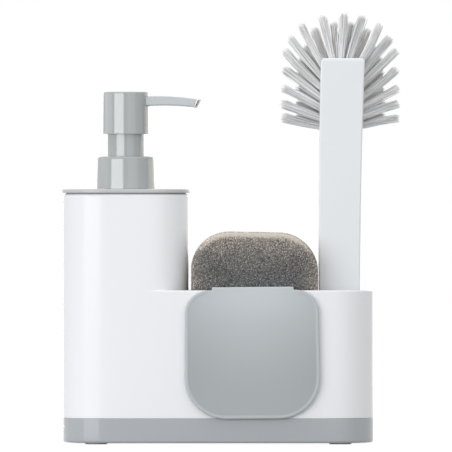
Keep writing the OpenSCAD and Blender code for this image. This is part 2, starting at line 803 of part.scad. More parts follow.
// The sponge: a soft slab with large corners and rounded edges
module sponge() {
    back = sponge_front + sponge_thickness;
    top = sponge_bottom + sponge_height;
    levels = slab_steps(sponge_front, back, sponge_round, sponge_round, edge_steps);
    rings = [for (s = levels) let (r = sponge_radius - s[1]) [for (p = soft_outline(
        sponge_width - 2 * s[1], sponge_bottom + s[1], top - s[1], r, r, 0, sponge_corner_steps))
        [sponge_x + p[0], s[0], p[1]]]];
    color([0.45, 0.42, 0.39]) placed() skin(rings);
}

// One level of a swept bar with rounded long edges, drawn in by a given amount
function bar_ring(z, y0, y1, inset, r) = let (
    x = sweep_at(z), w = handle_half(z) - inset - r, ya = y0 + inset + r, yb = y1 - inset - r)
    [for (p = concat(
        arc(w, yb, r, 0, 90, bar_corner_steps), arc(-w, yb, r, 90, 180, bar_corner_steps),
        arc(-w, ya, r, 180, 270, bar_corner_steps), arc(w, ya, r, 270, 360, bar_corner_steps)))
        [x + p[0], p[1], z]];

// Levels of a bar from z0 to z1, with its end edges rounded by r0 below and r1 above
function bar_rings(z0, z1, y0, y1, r0, r1, steps) = concat(
    [for (i = [0:edge_steps]) let (a = 90 * i / edge_steps)
        bar_ring(z0 + r0 * (1 - cos(90 - a)), y0, y1, r0 * (1 - sin(a)), max(handle_round - r0, edge_break))],
    [for (i = [1:steps - 1])
        bar_ring(z0 + (z1 - z0) * i / steps, y0, y1, 0, handle_round)],
    [for (i = [0:edge_steps]) let (a = 90 * i / edge_steps)
        bar_ring(z1 - r1 * (1 - sin(a)), y0, y1, r1 * (1 - cos(a)), max(handle_round - r1, edge_break))]);

// The handle, with a socket for the head's tenon
module brush_handle() {
    t = handle_thickness / 2;
    color([0.94, 0.95, 0.96]) placed() difference() {
        skin(bar_rings(brush_foot, join_z, -t, t, handle_round / 2, join_break, handle_steps));
        translate([sweep_at(join_z) - tenon_width / 2 - tenon_gap, -tenon_thickness / 2 - tenon_gap,
            join_z - tenon_length - tenon_gap])
            cube([tenon_width + 2 * tenon_gap, tenon_thickness + 2 * tenon_gap, tenon_length + cut]);
    }
}

// The head in front of the tufts, its full-thickness foot and the tenon that plugs into the handle
module brush_head() {
    t = handle_thickness / 2;
    foot_top = join_z + block_low - slide_gap;
    color([0.94, 0.95, 0.96]) placed() union() {
        difference() {
            skin(bar_rings(join_z, brush_top, -t, t, join_break, head_corner, handle_steps));
            translate([brush_x - caddy_depth, block_front, foot_top])
                cube([2 * caddy_depth, handle_thickness, brush_length]);
        }
        translate([sweep_at(join_z) - tenon_width / 2, -tenon_thickness / 2, join_z - tenon_length])
            cube([tenon_width, tenon_thickness, tenon_length + join_break + cut]);
    }
}

// One slice of the tuft block, counted from the front: its upper corners are cut between two rim roots
module block_part(index) {
    last = len(root_x_shares) - 1;
    z0 = join_z + block_low;
    side = [[block_half_width + root_cover, z0],
        [block_half_width + root_cover,
            root_low_z + (root_top_z - root_low_z) * root_z_shares[last - 1] + root_cover / 2],
        [block_half_width * root_x_shares[last] + root_cover / 2, root_top_z + root_cover]];
    translate([fan_center_x, block_front + (index + 1) * block_slice, 0]) rotate([90, 0, 0])
        linear_extrude(block_slice) polygon(concat(side, [for (i = [2:-1:0]) [-side[i][0], side[i][1]]]));
}

function unit(v) = v / norm(v);

// Where the strands of a tuft run: the first in the middle, the others on a ring round it
function strand_ends(root, tip, count, r_root, r_tip) = let (
    d = unit(tip - root), u = unit(cross(d, abs(d[1]) > abs(d[2]) ? [0, 0, 1] : [0, 1, 0])), v = cross(d, u))
    [for (k = [0:count - 1]) let (
        a = 360 * k / (count - 1), side = cos(a) * u + sin(a) * v, ring = k == count - 1 ? 0 : 1,
        trim = trim_share * norm(tip - root) * sin(golden_angle * k + norm(root)))
        [root + ring * r_root * side - root_sink * d, tip + ring * r_tip * side + trim * d, u, v]];

// All strands of a list of tufts as one skin with a closed prism for each strand
module strands(ends) {
    points = [for (e = ends) for (m = [0, 1]) for (j = [0:strand_sides - 1]) let (a = 360 * j / strand_sides)
        e[m] + strand_r * (cos(a) * e[2] + sin(a) * e[3])];
    faces = [for (k = [0:len(ends) - 1]) let (o = 2 * strand_sides * k) each concat(
        [[for (j = [0:strand_sides - 1]) o + j]],
        [for (j = [0:strand_sides - 1]) let (n = (j + 1) % strand_sides)
            [o + j, o + strand_sides + j, o + strand_sides + n, o + n]],
        [[for (j = [strand_sides - 1:-1:0]) o + strand_sides + j]])];
    polyhedron(points = points, faces = faces);
}

// Places along the fan: half the rim tufts, the top one and the other half
function fan_places(x_shares, z_shares, half, z0, z1) = concat(
    [for (i = [0:len(x_shares) - 1]) [fan_center_x - half * x_shares[i], z0 + (z1 - z0) * z_shares[i]]],
    [[fan_center_x, z1]],
    [for (i = [len(x_shares) - 1:-1:0]) [fan_center_x + half * x_shares[i], z0 + (z1 - z0) * z_shares[i]]]);

rim_tips = fan_places(tip_x_shares, tip_z_shares, fan_half_width, fan_low_z, fan_low_z + fan_height);
rim_roots = fan_places(root_x_shares, root_z_shares, block_half_width, root_low_z, root_top_z);
rim_y = block_front + block_slice / 2;
mid_y = rim_y + block_slice;

// Rim row: one tuft at each place of the fan
module bristles_rim() {
    ends = [for (i = [0:len(rim_tips) - 1]) each strand_ends(
        [rim_roots[i][0], rim_y, rim_roots[i][1]], [rim_tips[i][0], rim_y + rim_lean, rim_tips[i][1]],
        tuft_strands, tuft_root_r, tuft_tip_r)];
    color([0.76, 0.77, 0.79]) placed() union() {
        block_part(0);
        strands(ends);
    }
}

// Middle row: shorter tufts between those of the rim row, leaning further back
module bristles_mid() {
    ends = [for (i = [0:len(rim_tips) - 2]) let (
        root = (rim_roots[i] + rim_roots[i + 1]) / 2, tip = (rim_tips[i] + rim_tips[i + 1]) / 2,
        end = root + mid_reach_share * (tip - root))
        each strand_ends([root[0], mid_y, root[1]], [end[0], mid_y + mid_lean, end[1]],
        tuft_strands, tuft_root_r, tuft_tip_r)];
    color([0.66, 0.66, 0.68]) placed() union() {
        block_part(1);
        strands(ends);
    }
}

// Back rows: tufts that stand on the block's back and flare a little
module bristles_back() {
    y0 = block_front + 3 * block_slice;
    z0 = join_z + block_low;
    height = root_top_z - z0;
    middle = [fan_center_x, y0, z0 + height / 2];
    ends = [for (i = [0:back_columns - 1], k = [0:back_rows - 1]) let (
        dx = block_half_width * (2 * (i + 0.5) / back_columns - 1),
        dz = height * ((k + 0.5) / back_rows - 0.5),
        root = middle + [dx, 0, dz],
        tip = root + [dx * back_flare_share, back_length, dz * back_flare_share])
        each strand_ends(root, tip, tuft_strands - 1, tuft_root_r, tuft_tip_r)];
    color([0.7, 0.7, 0.72]) placed() union() {
        block_part(2);
        strands(ends);
    }
}

base_tray();
base_feet();
caddy_body();
lid_plate();
lid_seal();
pump_cylinder();
collar_gasket();
neck_sleeve();
inlet_ball();
dip_tube();
collar();
return_spring();
piston();
piston_stem();
head_cap();
spout();
front_plate();
sponge();
brush_handle();
brush_head();
bristles_rim();
bristles_mid();
bristles_back();
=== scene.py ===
"""Looks of a sink caddy: a white holder with a soap pump, a hanging plate, a sponge and a dish brush.

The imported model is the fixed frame. Every new piece is worked out in millimetres in that frame and
written to its mesh in metres. The front faces -Y and the brush stands towards +X.
"""

import logging
import math
from dataclasses import dataclass, field
from enum import Enum
from typing import Sequence

import bpy
import numpy as np
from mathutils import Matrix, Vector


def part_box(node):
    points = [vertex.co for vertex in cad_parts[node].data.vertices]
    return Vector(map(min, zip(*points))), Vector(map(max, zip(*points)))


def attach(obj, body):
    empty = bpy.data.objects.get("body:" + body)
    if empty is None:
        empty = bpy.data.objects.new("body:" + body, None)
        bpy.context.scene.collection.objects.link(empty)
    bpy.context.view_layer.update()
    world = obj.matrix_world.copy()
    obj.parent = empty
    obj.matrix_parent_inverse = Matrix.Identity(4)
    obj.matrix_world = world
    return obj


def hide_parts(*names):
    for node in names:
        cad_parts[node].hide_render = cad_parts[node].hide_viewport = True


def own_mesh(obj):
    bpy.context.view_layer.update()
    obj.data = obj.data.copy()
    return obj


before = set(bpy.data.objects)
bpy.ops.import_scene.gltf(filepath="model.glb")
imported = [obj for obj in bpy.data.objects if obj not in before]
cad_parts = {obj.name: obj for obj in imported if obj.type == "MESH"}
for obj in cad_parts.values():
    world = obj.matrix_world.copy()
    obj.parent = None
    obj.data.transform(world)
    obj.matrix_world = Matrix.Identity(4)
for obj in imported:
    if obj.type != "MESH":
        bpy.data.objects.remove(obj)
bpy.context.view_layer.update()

MM = 0.001
GOLDEN_TURN = math.radians(137.50776)
STRUT_WIDTH = 0.45
FLAT_FACE_WEIGHT = 60
GLOSS_PATCH_SCALE = 60.0
log = logging.getLogger("caddy")

Array = np.ndarray
Piece = bpy.types.Object
Socket = bpy.types.NodeSocket
Colour = tuple[float, float, float]
Point = tuple[float, float, float]
Span = tuple[float, float]


class Body(Enum):
    """The moving bodies that pieces ride on."""

    PUMP_CORE = "pump_core"
    PUMP_HEAD = "pump_head"
    HANGING_PLATE = "hanging_plate"
    SPONGE_PAD = "sponge_pad"
    BRUSH = "brush"


class Row(Enum):
    """The three rows of tufts, each on its slice of the tuft block."""

    RIM = 0
    MIDDLE = 1
    BACK = 2


def tone(red: float, green: float, blue: float) -> Colour:
    """Linear colour of a screen colour given from 0 to 255, by the usual screen curve."""
    shares = np.array([red, green, blue]) / 255
    linear = np.where(shares <= 0.04045, shares / 12.92, ((shares + 0.055) / 1.055) ** 2.4)
    return tuple(float(share) for share in linear)


def soft_step(low: float, high: float, value: Array) -> Array:
    """Smooth rise from 0 to 1: with s the clipped share of the way, the value is s*s*(3 - 2*s)."""
    share = np.clip((value - low) / (high - low), 0, 1)
    return share * share * (3 - 2 * share)


def corner_box(node: str) -> tuple[Array, Array]:
    """Lowest and highest corner of a CAD node at rest, in millimetres."""
    low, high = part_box(node)
    return np.array(low) / MM, np.array(high) / MM


def unit(vectors: Array) -> Array:
    """Each vector divided by its length."""
    return vectors / np.linalg.norm(vectors, axis=-1, keepdims=True)


def turned(points: Array, angle: float, pivot: Array, axes: tuple[int, int]) -> Array:
    """Points turned in one plane.

    Formula: the first coordinate becomes first*cos - second*sin and the second first*sin +
    second*cos, both counted from the pivot.

    Args:
        points: Array whose last axis holds x, y and z.
        angle: Turn in radians, from the first axis towards the second.
        pivot: Point that stays where it is.
        axes: Numbers of the two coordinates that change.

    Returns:
        The turned points.
    """
    first, second = axes
    result = np.array(points, dtype=float)
    a, b = result[..., first] - pivot[first], result[..., second] - pivot[second]
    result[..., first] = pivot[first] + a * math.cos(angle) - b * math.sin(angle)
    result[..., second] = pivot[second] + a * math.sin(angle) + b * math.cos(angle)
    return result


def arc_path(arcs: Array, fills: Sequence[int], steps: Sequence[int]) -> Array:
    """Closed outline made of arcs joined by straight runs.

    Formula: an arc's points are centre + radius * (cos, sin) at even angles from its start to its
    end. A run's points divide the line from one arc's end to the next arc's start evenly.

    Args:
        arcs: Rows of centre a, centre b, radius, start angle and end angle in degrees.
        fills: Points inside the straight run after each arc.
        steps: Steps along each arc, one number for each.

    Returns:
        Array of points (a, b) once round the outline.
    """
    curved = []
    for (a, b, radius, first, last), count in zip(arcs, steps):
        angle = np.radians(np.linspace(first, last, count + 1))
        curved.append(np.stack([a + radius * np.cos(angle), b + radius * np.sin(angle)], -1))
    starts = [corner[0] for corner in curved[1:] + curved[:1]]
    parts = []
    for corner, start, fill in zip(curved, starts, fills):
        shares = np.linspace(0, 1, fill + 2)[1:-1, None]
        parts += [corner, corner[-1] + (start - corner[-1]) * shares]
    return np.concatenate(parts)


def waves(points: Array, length: float, seed: int, count: int = 9) -> Array:
    """Gentle unevenness between about -1 and 1.

    Formula: the mean of sines of the distance along random directions, each with its own phase and
    a wave length near the given one, scaled by the root of their number.
    """
    rng = np.random.default_rng(seed)
    ways = unit(rng.normal(size=(count, 3))) * (2 * math.pi / length) * rng.uniform(0.7, 1.4, (count, 1))
    return np.sin(points @ ways.T + rng.uniform(0, 2 * math.pi, count)).mean(-1) * math.sqrt(count)


def cell_points(cells: Array, seed: int) -> Array:
    """One scattered point for each whole-number cell, by mixing the bits of the cell's numbers."""
    numbers = cells.astype(np.uint64)
    mixed = np.array([1, 2, 3], np.uint64) * np.uint64(0x9E3779B97F4A7C15) + np.uint64(seed)
    for axis in range(3):
        mixed = (mixed ^ numbers[..., axis, None]) * np.uint64(0xBF58476D1CE4E5B9)
        mixed = (mixed ^ (mixed >> np.uint64(29))) * np.uint64(0x94D049BB133111EB)
        mixed = mixed ^ (mixed >> np.uint64(32))
    return (mixed >> np.uint64(40)).astype(float) / 2.0**24


def foam_struts(points: Array, cell: float, seed: int) -> Array:
    """How near each point is to a strut of the foam: 1 on a strut and 0 in the middle of a pore.

    Formula: every cubic cell holds one scattered pore centre. With f1 and f2 the distances to the
    nearest two centres, in cells, the value is 1 - (f2 - f1) / strut width, clipped to 0 and 1.
    """
    scaled = points / cell
    home = np.floor(scaled).astype(np.int64)
    above_zero = 4096
    nearest = np.full(len(points), np.inf)
    second = np.full(len(points), np.inf)
    for shift in np.stack(np.meshgrid(*[[-1, 0, 1]] * 3, indexing="ij"), -1).reshape(-1, 3):
        centres = home + shift + cell_points(home + shift + above_zero, seed)
        distance = np.linalg.norm(scaled - centres, axis=-1)
        second = np.minimum(second, np.maximum(nearest, distance))
        nearest = np.minimum(nearest, distance)
    return np.clip(1 - (second - nearest) / STRUT_WIDTH, 0, 1)


def rounded_outlines(halves: Array, radii: Array, steps: int) -> Array:
    """Outlines of rounded rectangles, one for each cross section of a bar.

    Formula: four quarter arcs round corner centres at (half size - radius), anticlockwise.

    Args:
        halves: Half sizes across and up, of shape (sections, 2).
        radii: Corner radius of each section.
        steps: Points on each quarter arc.

    Returns:
        Array of shape (sections, 4 * steps, 2).
    """
    angles = np.radians(np.arange(4)[:, None] * 90 + np.linspace(0, 90, steps))
    signs = np.array([[1, 1], [-1, 1], [-1, -1], [1, -1]])[:, None, :]
    radius = radii[:, None, None, None]
    arcs = radius * np.stack([np.cos(angles), np.sin(angles)], -1)
    return (signs * (halves[:, None, None, :] - radius) + arcs).reshape(len(halves), -1, 2)


def ring_faces(rings: int, around: int) -> Array:
    """Quads between the rings of a closed sweep.

    Formula: (ring, step), (ring, step + 1), (ring + 1, step + 1), (ring + 1, step), with the steps
    wrapping round. Rings that run anticlockwise about the way of the sweep face outwards.
    """
    start = np.arange(rings - 1)[:, None] * around
    step = np.arange(around)[None, :]
    here, there = start + step, start + (step + 1) % around
    return np.stack([here, there, there + around, here + around], -1).reshape(-1, 4)


def linked(name: str, data: bpy.types.ID) -> Piece:
    """A new object with its data, in the scene."""
    thing = bpy.data.objects.new(name, data)
    bpy.context.scene.collection.objects.link(thing)
    return thing


@dataclass
class Shell:
    """Points, faces and point values of one piece while it is worked out, in millimetres."""

    mark_names: tuple[str, ...] = ()
    points: list[Array] = field(default_factory=list)
    faces: list[tuple[Array, int]] = field(default_factory=list)
    marks: dict[str, list[Array]] = field(default_factory=dict)
    count: int = 0

    def add(self, points: Array, faces: Sequence[Array], coat: int = 0, **marks: object) -> None:
        """Adds points with their faces.

        Args:
            points: Array of shape (n, 3).
            faces: Arrays of triangles or quads, as numbers of these points.
            coat: Number of the material slot of these faces.
            **marks: A value or an array of n values for each point mark; a mark left out is 0.
        """
        self.points.append(points)
        self.faces += [(part + self.count, coat) for part in faces]
        for name in self.mark_names:
            values = np.broadcast_to(np.asarray(marks.get(name, 0.0), float), len(points))
            self.marks.setdefault(name, []).append(values)
        self.count += len(points)

    def sweep(self, rings: Array, coat: int = 0, **marks: object) -> None:
        """Adds a closed skin over rings, with a fan of triangles on each end.

        Args:
            rings: Array of shape (rings, steps, 3), anticlockwise about the way of the sweep.
            coat: Number of the material slot.
            **marks: A value or an array for each point mark, with the two end middles last.
        """
        count, around = rings.shape[:2]
        points = np.concatenate([rings.reshape(-1, 3), [rings[0].mean(0), rings[-1].mean(0)]])
        step = np.arange(around)
        following = (step + 1) % around
        low = np.stack([np.full(around, count * around), following, step], -1)
        last = (count - 1) * around
        high = np.stack([np.full(around, count * around + 1), last + step, last + following], -1)
        self.add(points, [ring_faces(count, around), low, high], coat, **marks)

    def build(self, name: str, coats: Sequence[bpy.types.Material], crease: float = 32.0) -> Piece:
        """Writes the piece: points, loops and faces go into the mesh as whole arrays.

        Args:
            name: Name of the object and its mesh.
            coats: Materials in slot order.
            crease: Angle in degrees above which an edge stays sharp.

        Returns:
            The new object, at the origin.
        """
        points = np.concatenate(self.points) * MM
        corners = np.concatenate([np.full(len(part), part.shape[1]) for part, _ in self.faces])
        loops = np.concatenate([part.ravel() for part, _ in self.faces]).astype(np.int32)
        slots = np.concatenate([np.full(len(part), coat) for part, coat in self.faces])
        starts = np.concatenate([[0], np.cumsum(corners)[:-1]])
        mesh = bpy.data.meshes.new(name)
        mesh.vertices.add(len(points))
        mesh.vertices.foreach_set("co", points.astype(np.float32).ravel())
        mesh.loops.add(len(loops))
        mesh.loops.foreach_set("vertex_index", loops)
        mesh.polygons.add(len(starts))
        mesh.polygons.foreach_set("loop_start", starts.astype(np.int32))
        for coat in coats:
            mesh.materials.append(coat)
        mesh.polygons.foreach_set("material_index", slots.astype(np.int32))
        mesh.update(calc_edges=True)
        mesh.validate()
        mesh.shade_smooth()
        mesh.set_sharp_from_angle(angle=math.radians(crease))
        for mark in self.mark_names:
            values = np.concatenate(self.marks[mark]).astype(np.float32)
            mesh.attributes.new(mark, "FLOAT", "POINT").data.foreach_set("value", values)
        return linked(name, mesh)


def seat(piece: Piece, body: Body, slot: str, *nodes: str) -> Piece:
    """Puts a finished piece on its body in place of CAD nodes, and reports it.

    Args:
        piece: The new object.
        body: Body that it rides on.
        slot: Not used; names the record's material slot.
        *nodes: CAD nodes that it stands for.

    Returns:
        The same object.
    """
    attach(piece, body.value)
    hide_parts(*nodes)
    log.info("%s: %d points, stands for %s", piece.name, len(piece.data.vertices), ", ".join(nodes))
    return piece


def even_normals(piece: Piece) -> None:
    """Keeps wide flat faces flat right up to their rounded edges."""
    modifier = piece.modifiers.new("even_normals", "WEIGHTED_NORMAL")
    modifier.keep_sharp = True
    modifier.weight = FLAT_FACE_WEIGHT


@dataclass(frozen=True)
class Wiring:
    """Adds wired nodes to one tree; each input takes a plain value or another node's output."""

    tree: bpy.types.NodeTree

    def fill(self, node: bpy.types.Node, inputs: dict[str | int, object]) -> None:
        """Links each given output into its input, and sets each plain value."""
        for key, value in inputs.items():
            if isinstance(value, Socket):
                self.tree.links.new(value, node.inputs[key])
            else:
                node.inputs[key].default_value = value

    def node(self, kind: str, inputs: dict[str | int, object] | None = None) -> bpy.types.Node:
        """A new node with its inputs; the kind is given without the leading ShaderNode."""
        node = self.tree.nodes.new("ShaderNode" + kind)
        self.fill(node, inputs or {})
        return node

    def math(self, operation: str, *values: object) -> Socket:
        """Result of a math node."""
        node = self.node("Math")
        node.operation = operation
        self.fill(node, dict(enumerate(values)))
        return node.outputs[0]

    def scaled(self, colour: Socket, factor: object) -> Socket:
        """A colour times a number."""
        node = self.node("VectorMath")
        node.operation = "SCALE"
        self.fill(node, {0: colour, "Scale": factor})
        return node.outputs[0]

    def mixed(self, kind: str, share: object, first: object, second: object) -> Socket:
        """Mix of two colours or two numbers."""
        node = self.node("Mix")
        node.data_type = kind
        numbers = [number for number, socket in enumerate(node.inputs) if socket.enabled]
        self.fill(node, dict(zip(numbers, (share, first, second))))
        return next(socket for socket in node.outputs if socket.enabled)

    def ranged(self, value: Socket, old: Span, new: Span = (0.0, 1.0)) -> Socket:
        """A value moved from the old span to the new one and kept inside it."""
        limits = dict(zip(("From Min", "From Max", "To Min", "To Max"), (*old, *new)))
        return self.node("MapRange", {"Value": value, **limits}).outputs[0]

    def mark(self, name: str) -> Socket:
        """Value of a point mark."""
        node = self.node("Attribute")
        node.attribute_name = name
        return node.outputs["Fac"]

    def place(self) -> Socket:
        """Place on the object, in metres."""
        return self.node("TexCoord").outputs["Object"]

    def bump(self, height: Socket, strength: float, depth: float) -> Socket:
        """Normal of a surface that a height raises."""
        node = self.node("Bump", {"Height": height, "Strength": strength, "Distance": depth})
        return node.outputs["Normal"]

    def seen_directly(self) -> Socket:
        """1 for rays of the camera, of a gloss and through glass, and 0 for all other light."""
        ray = self.node("LightPath").outputs
        either = self.math("MAXIMUM", ray["Is Camera Ray"], ray["Is Glossy Ray"])
        return self.math("MAXIMUM", either, ray["Is Transmission Ray"])


def surface_group() -> bpy.types.NodeTree:
    """Node group of a moulded surface: faint colour clouds, a spread of gloss and a fine mould grain."""
    name = "moulded_surface"
    if name in bpy.data.node_groups:
        return bpy.data.node_groups[name]
    tree = bpy.data.node_groups.new(name, "ShaderNodeTree")
    for label, kind, default in (
        ("Colour", "NodeSocketColor", (0.8, 0.8, 0.8, 1)),
        ("Clouds", "NodeSocketFloat", 0.02),
        ("Cloud Scale", "NodeSocketFloat", 14.0),
        ("Roughness", "NodeSocketFloat", 0.3),
        ("Gloss Spread", "NodeSocketFloat", 0.03),
        ("Grain Scale", "NodeSocketFloat", 1800.0),
    ):
        tree.interface.new_socket(label, in_out="INPUT", socket_type=kind).default_value = default
    for label, kind in (("Colour", "Color"), ("Roughness", "Float"), ("Height", "Float")):
        tree.interface.new_socket(label, in_out="OUTPUT", socket_type="NodeSocket" + kind)
    wiring = Wiring(tree)
    given = tree.nodes.new("NodeGroupInput").outputs
    place = wiring.place()

    def noise(scale: object, detail: float) -> Socket:
        """Value of a noise texture."""
        return wiring.node("TexNoise", {"Vector": place, "Scale": scale, "Detail": detail}).outputs[0]

    def around(value: Socket, spread: Socket, base: object) -> Socket:
        """Base plus spread times twice the value's distance from a half."""
        return wiring.math("MULTIPLY_ADD", wiring.math("MULTIPLY_ADD", value, 2, -1), spread, base)

    clouds = around(noise(given["Cloud Scale"], 3), given["Clouds"], 1.0)
    wiring.fill(tree.nodes.new("NodeGroupOutput"), {
        "Colour": wiring.scaled(given["Colour"], clouds),
        "Roughness": around(noise(GLOSS_PATCH_SCALE, 4), given["Gloss Spread"], given["Roughness"]),
        "Height": noise(given["Grain Scale"], 2),
    })
    return tree


def new_material(name: str) -> tuple[bpy.types.Material, bpy.types.Node, Wiring]:
    """An empty node material, its principled shader and the wiring of its tree."""
    material = bpy.data.materials.new(name)
    material.use_nodes = True
    return material, material.node_tree.nodes["Principled BSDF"], Wiring(material.node_tree)


@dataclass(frozen=True)
class Moulding:
    """Moulded plastic, rubber or metal: an even colour with faint flow clouds and a fine grain."""

    name: str
    colour: Colour
    roughness: float
    specular: float = 0.5
    metallic: float = 0.0
    clouds: float = 0.012
    cloud_scale: float = 14.0
    gloss_spread: float = 0.03
    grain_scale: float = 1800.0
    grain_strength: float = 0.12
    grain_depth: float = 0.00004
    translucence: float = 0.0
    light_depth: float = 0.002

    def tinted(self, colour: Socket, wiring: Wiring) -> Socket:
        """The surface's colour as the shader gets it."""
        return colour

    def material(self) -> bpy.types.Material:
        """The node material of this finish, made once."""
        if self.name in bpy.data.materials:
            return bpy.data.materials[self.name]
        material, shader, wiring = new_material(self.name)
        surface = wiring.node("Group")
        surface.node_tree = surface_group()
        wiring.fill(surface, {
            "Colour": (*self.colour, 1),
            "Clouds": self.clouds,
            "Cloud Scale": self.cloud_scale,
            "Roughness": self.roughness,
            "Gloss Spread": self.gloss_spread,
            "Grain Scale": self.grain_scale,
        })
        made = surface.outputs
        wiring.fill(shader, {
            "Base Color": self.tinted(made["Colour"], wiring),
            "Roughness": made["Roughness"],
            "Normal": wiring.bump(made["Height"], self.grain_strength, self.grain_depth),
            "Metallic": self.metallic,
            "Specular IOR Level": self.specular,
            "Subsurface Weight": self.translucence,
            "Subsurface Scale": self.light_depth,
        })
        return material


@dataclass(frozen=True)
class PlateWithPaintedLight(Moulding):
    """Satin plate: the moulded finish, deepened or lightened by the piece's mark lift, which holds
    painted shade and painted highlights.
    """

    def tinted(self, colour: Socket, wiring: Wiring) -> Socket:
        """The surface's colour times the mark lift: painted shade and painted highlights."""
        return wiring.scaled(colour, wiring.mark("lift"))


@dataclass(frozen=True)
class Foam:
    """Open-cell foam: dark pores between pale struts, browner and then beige towards the outline.

    The dark pores are painted shade; the brown is the foam's own colour, lightened towards the outline
    by painted light; the beige band is painted light from above.
    """

    name: str
    # core, brown and pale: the foam's own colour in the middle, lightened by painted light towards the
    # outline and along the top edge.
    core: Colour
    brown: Colour
    pale: Colour
    # pore_shade: painted shade of the pore hollows, as a share of the foam's colour.
    pore_shade: float
    strut_lift: float
    speck_lift: float
    thread_scale: float = 1400.0
    thread_fall: float = 3.2
    strut_share: float = 0.6
    speck_scale: float = 1140.0
    speck_size: Span = (0.5, 0.25)
    speck_choice: Span = (0.3, 0.6)
    cloud_share: float = 0.02
    relief_strength: float = 0.6
    relief_depth: float = 0.0004
    roughness: float = 0.92
    specular: float = 0.25

    def material(self) -> bpy.types.Material:
        """The node material of this finish; it reads the marks strut, brown, pale and cloud."""
        material, shader, wiring = new_material(self.name)
        place = wiring.place()
        # Painted shade: the pores are dark and the struts and threads between them lighter, on top of the
        # depth the mesh presses in.
        threads = wiring.node("TexVoronoi", {"Vector": place, "Scale": self.thread_scale})
        threads.feature = "DISTANCE_TO_EDGE"
        fall = wiring.math("MULTIPLY", threads.outputs["Distance"], self.thread_fall)
        thread = wiring.math("MULTIPLY", wiring.math("SUBTRACT", 1.0, fall), 1 - self.strut_share)
        strut = wiring.math("MULTIPLY_ADD", wiring.mark("strut"), self.strut_share, thread)
        specks = wiring.node("TexVoronoi", {"Vector": place, "Scale": self.speck_scale}).outputs
        speck = wiring.math("MULTIPLY", wiring.ranged(specks["Distance"], self.speck_size),
                            wiring.ranged(specks["Color"], self.speck_choice))
        level = self.pore_shade
        for value, share in ((strut, self.strut_lift), (speck, self.speck_lift),
                             (wiring.mark("cloud"), self.cloud_share)):
            level = wiring.math("MULTIPLY_ADD", value, share, level)
        # pale is painted light from above, which also hides the pores; brown is own colour lightened by
        # painted light towards the outline.
        pale = wiring.mark("pale")
        zone = wiring.mixed("RGBA", wiring.mark("brown"), (*self.core, 1), (*self.brown, 1))
        zone = wiring.mixed("RGBA", pale, zone, (*self.pale, 1))
        wiring.fill(shader, {
            "Base Color": wiring.scaled(zone, wiring.mixed("FLOAT", pale, level, 1.0)),
            "Normal": wiring.bump(strut, self.relief_strength, self.relief_depth),
            "Roughness": self.roughness,
            "Specular IOR Level": self.specular,
        })
        return material


@dataclass(frozen=True)
class Filament:
    """Nylon filament: each strand has its own shade and is a little darker at the tip."""

    name: str
    dark: Colour
    light: Colour
    roughness: float
    specular: float = 0.5
    tip_shade: float = 0.92
    translucence: float = 0.25
    light_depth: float = 0.0006

    def material(self) -> bpy.types.Material:
        """The node material of this finish, made once; it reads the piece's marks shade and reach."""
        if self.name in bpy.data.materials:
            return bpy.data.materials[self.name]
        material, shader, wiring = new_material(self.name)
        own = wiring.mixed("RGBA", wiring.mark("shade"), (*self.dark, 1), (*self.light, 1))
        fall = wiring.ranged(wiring.mark("reach"), (0.0, 1.0), (1.0, self.tip_shade))
        wiring.fill(shader, {
            "Base Color": wiring.scaled(own, fall),
            "Roughness": self.roughness,
            "Specular IOR Level": self.specular,
            "Subsurface Weight": self.translucence,
            "Subsurface Radius": (1, 1, 1),
            "Subsurface Scale": self.light_depth,
        })
        return material


WHITE_SHELL = Moulding("white_shell_moulded", (0.865, 0.88, 0.905), 0.2, 0.2, clouds=0.006)
GREY_BASE = Moulding("grey_base_satin", tone(168, 173, 177), 0.12, 0.65, clouds=0.006)
SOFT_FOOT = Moulding("soft_foot_rubber", tone(206, 208, 210), 0.6, 0.3, grain_strength=0.3)
GREY_LID = Moulding("grey_lid_satin", tone(190, 192, 194), 0.32, 0.4)
SOFT_SEAL = Moulding("soft_seal_rubber", tone(150, 152, 154), 0.6, 0.3)
PUMP_NATURAL = Moulding("pump_natural_plastic", tone(236, 238, 240), 0.35, 0.4, translucence=0.3)
GASKET_FOAM = Moulding("gasket_foam_sheet", tone(238, 238, 234), 0.8, 0.2,
                       grain_scale=900, grain_strength=0.5)
GREY_PUMP = Moulding("grey_pump_polished", tone(167, 171, 172), 0.13, 0.62,
                     clouds=0.008, gloss_spread=0.015)
VALVE_STEEL = Moulding("valve_steel_polished", (0.62, 0.62, 0.63), 0.12, 0.5, metallic=1.0)
SPRING_STEEL = Moulding("spring_steel_drawn", (0.58, 0.58, 0.6), 0.25, 0.5,
                        metallic=1.0, grain_scale=5200)
# Paler grey for the spout's end faces: a painted highlight on the tip.
SPOUT_END_PAINTED_HIGHLIGHT = Moulding("spout_end_painted_highlight", tone(238, 238, 236), 0.3, 0.4)
# Lighter grey than the pump's for the spout: painted light for the light that its flat sides catch.
SPOUT_GREY_PAINTED_LIGHT = Moulding("spout_grey_painted_light", tone(186, 190, 193), 0.34, 0.3)
GREY_PLATE = PlateWithPaintedLight("grey_plate_satin", tone(176, 182, 185), 0.42, 0.5)
BRUSH_WHITE = Moulding("brush_white_moulded", tone(233, 236, 239), 0.33, 0.25, clouds=0.006)
SPONGE_FOAM = Foam("sponge_open_cell", tone(96, 96, 96), tone(155, 147, 139), tone(209, 202, 192),
                   pore_shade=0.08, strut_lift=1.35, speck_lift=2.15)
BRISTLE_FRONT = Filament("bristle_nylon_front", tone(214, 215, 217), (1.0, 1.0, 1.0), 0.35)
# Darker copy of the same nylon for the middle and back rows: painted shade for the rows that lie in shade
# behind the rim tufts.
BRISTLE_PAINTED_SHADE = Filament("bristle_nylon_painted_shade", tone(194, 194, 195), tone(250, 248, 246), 0.4)


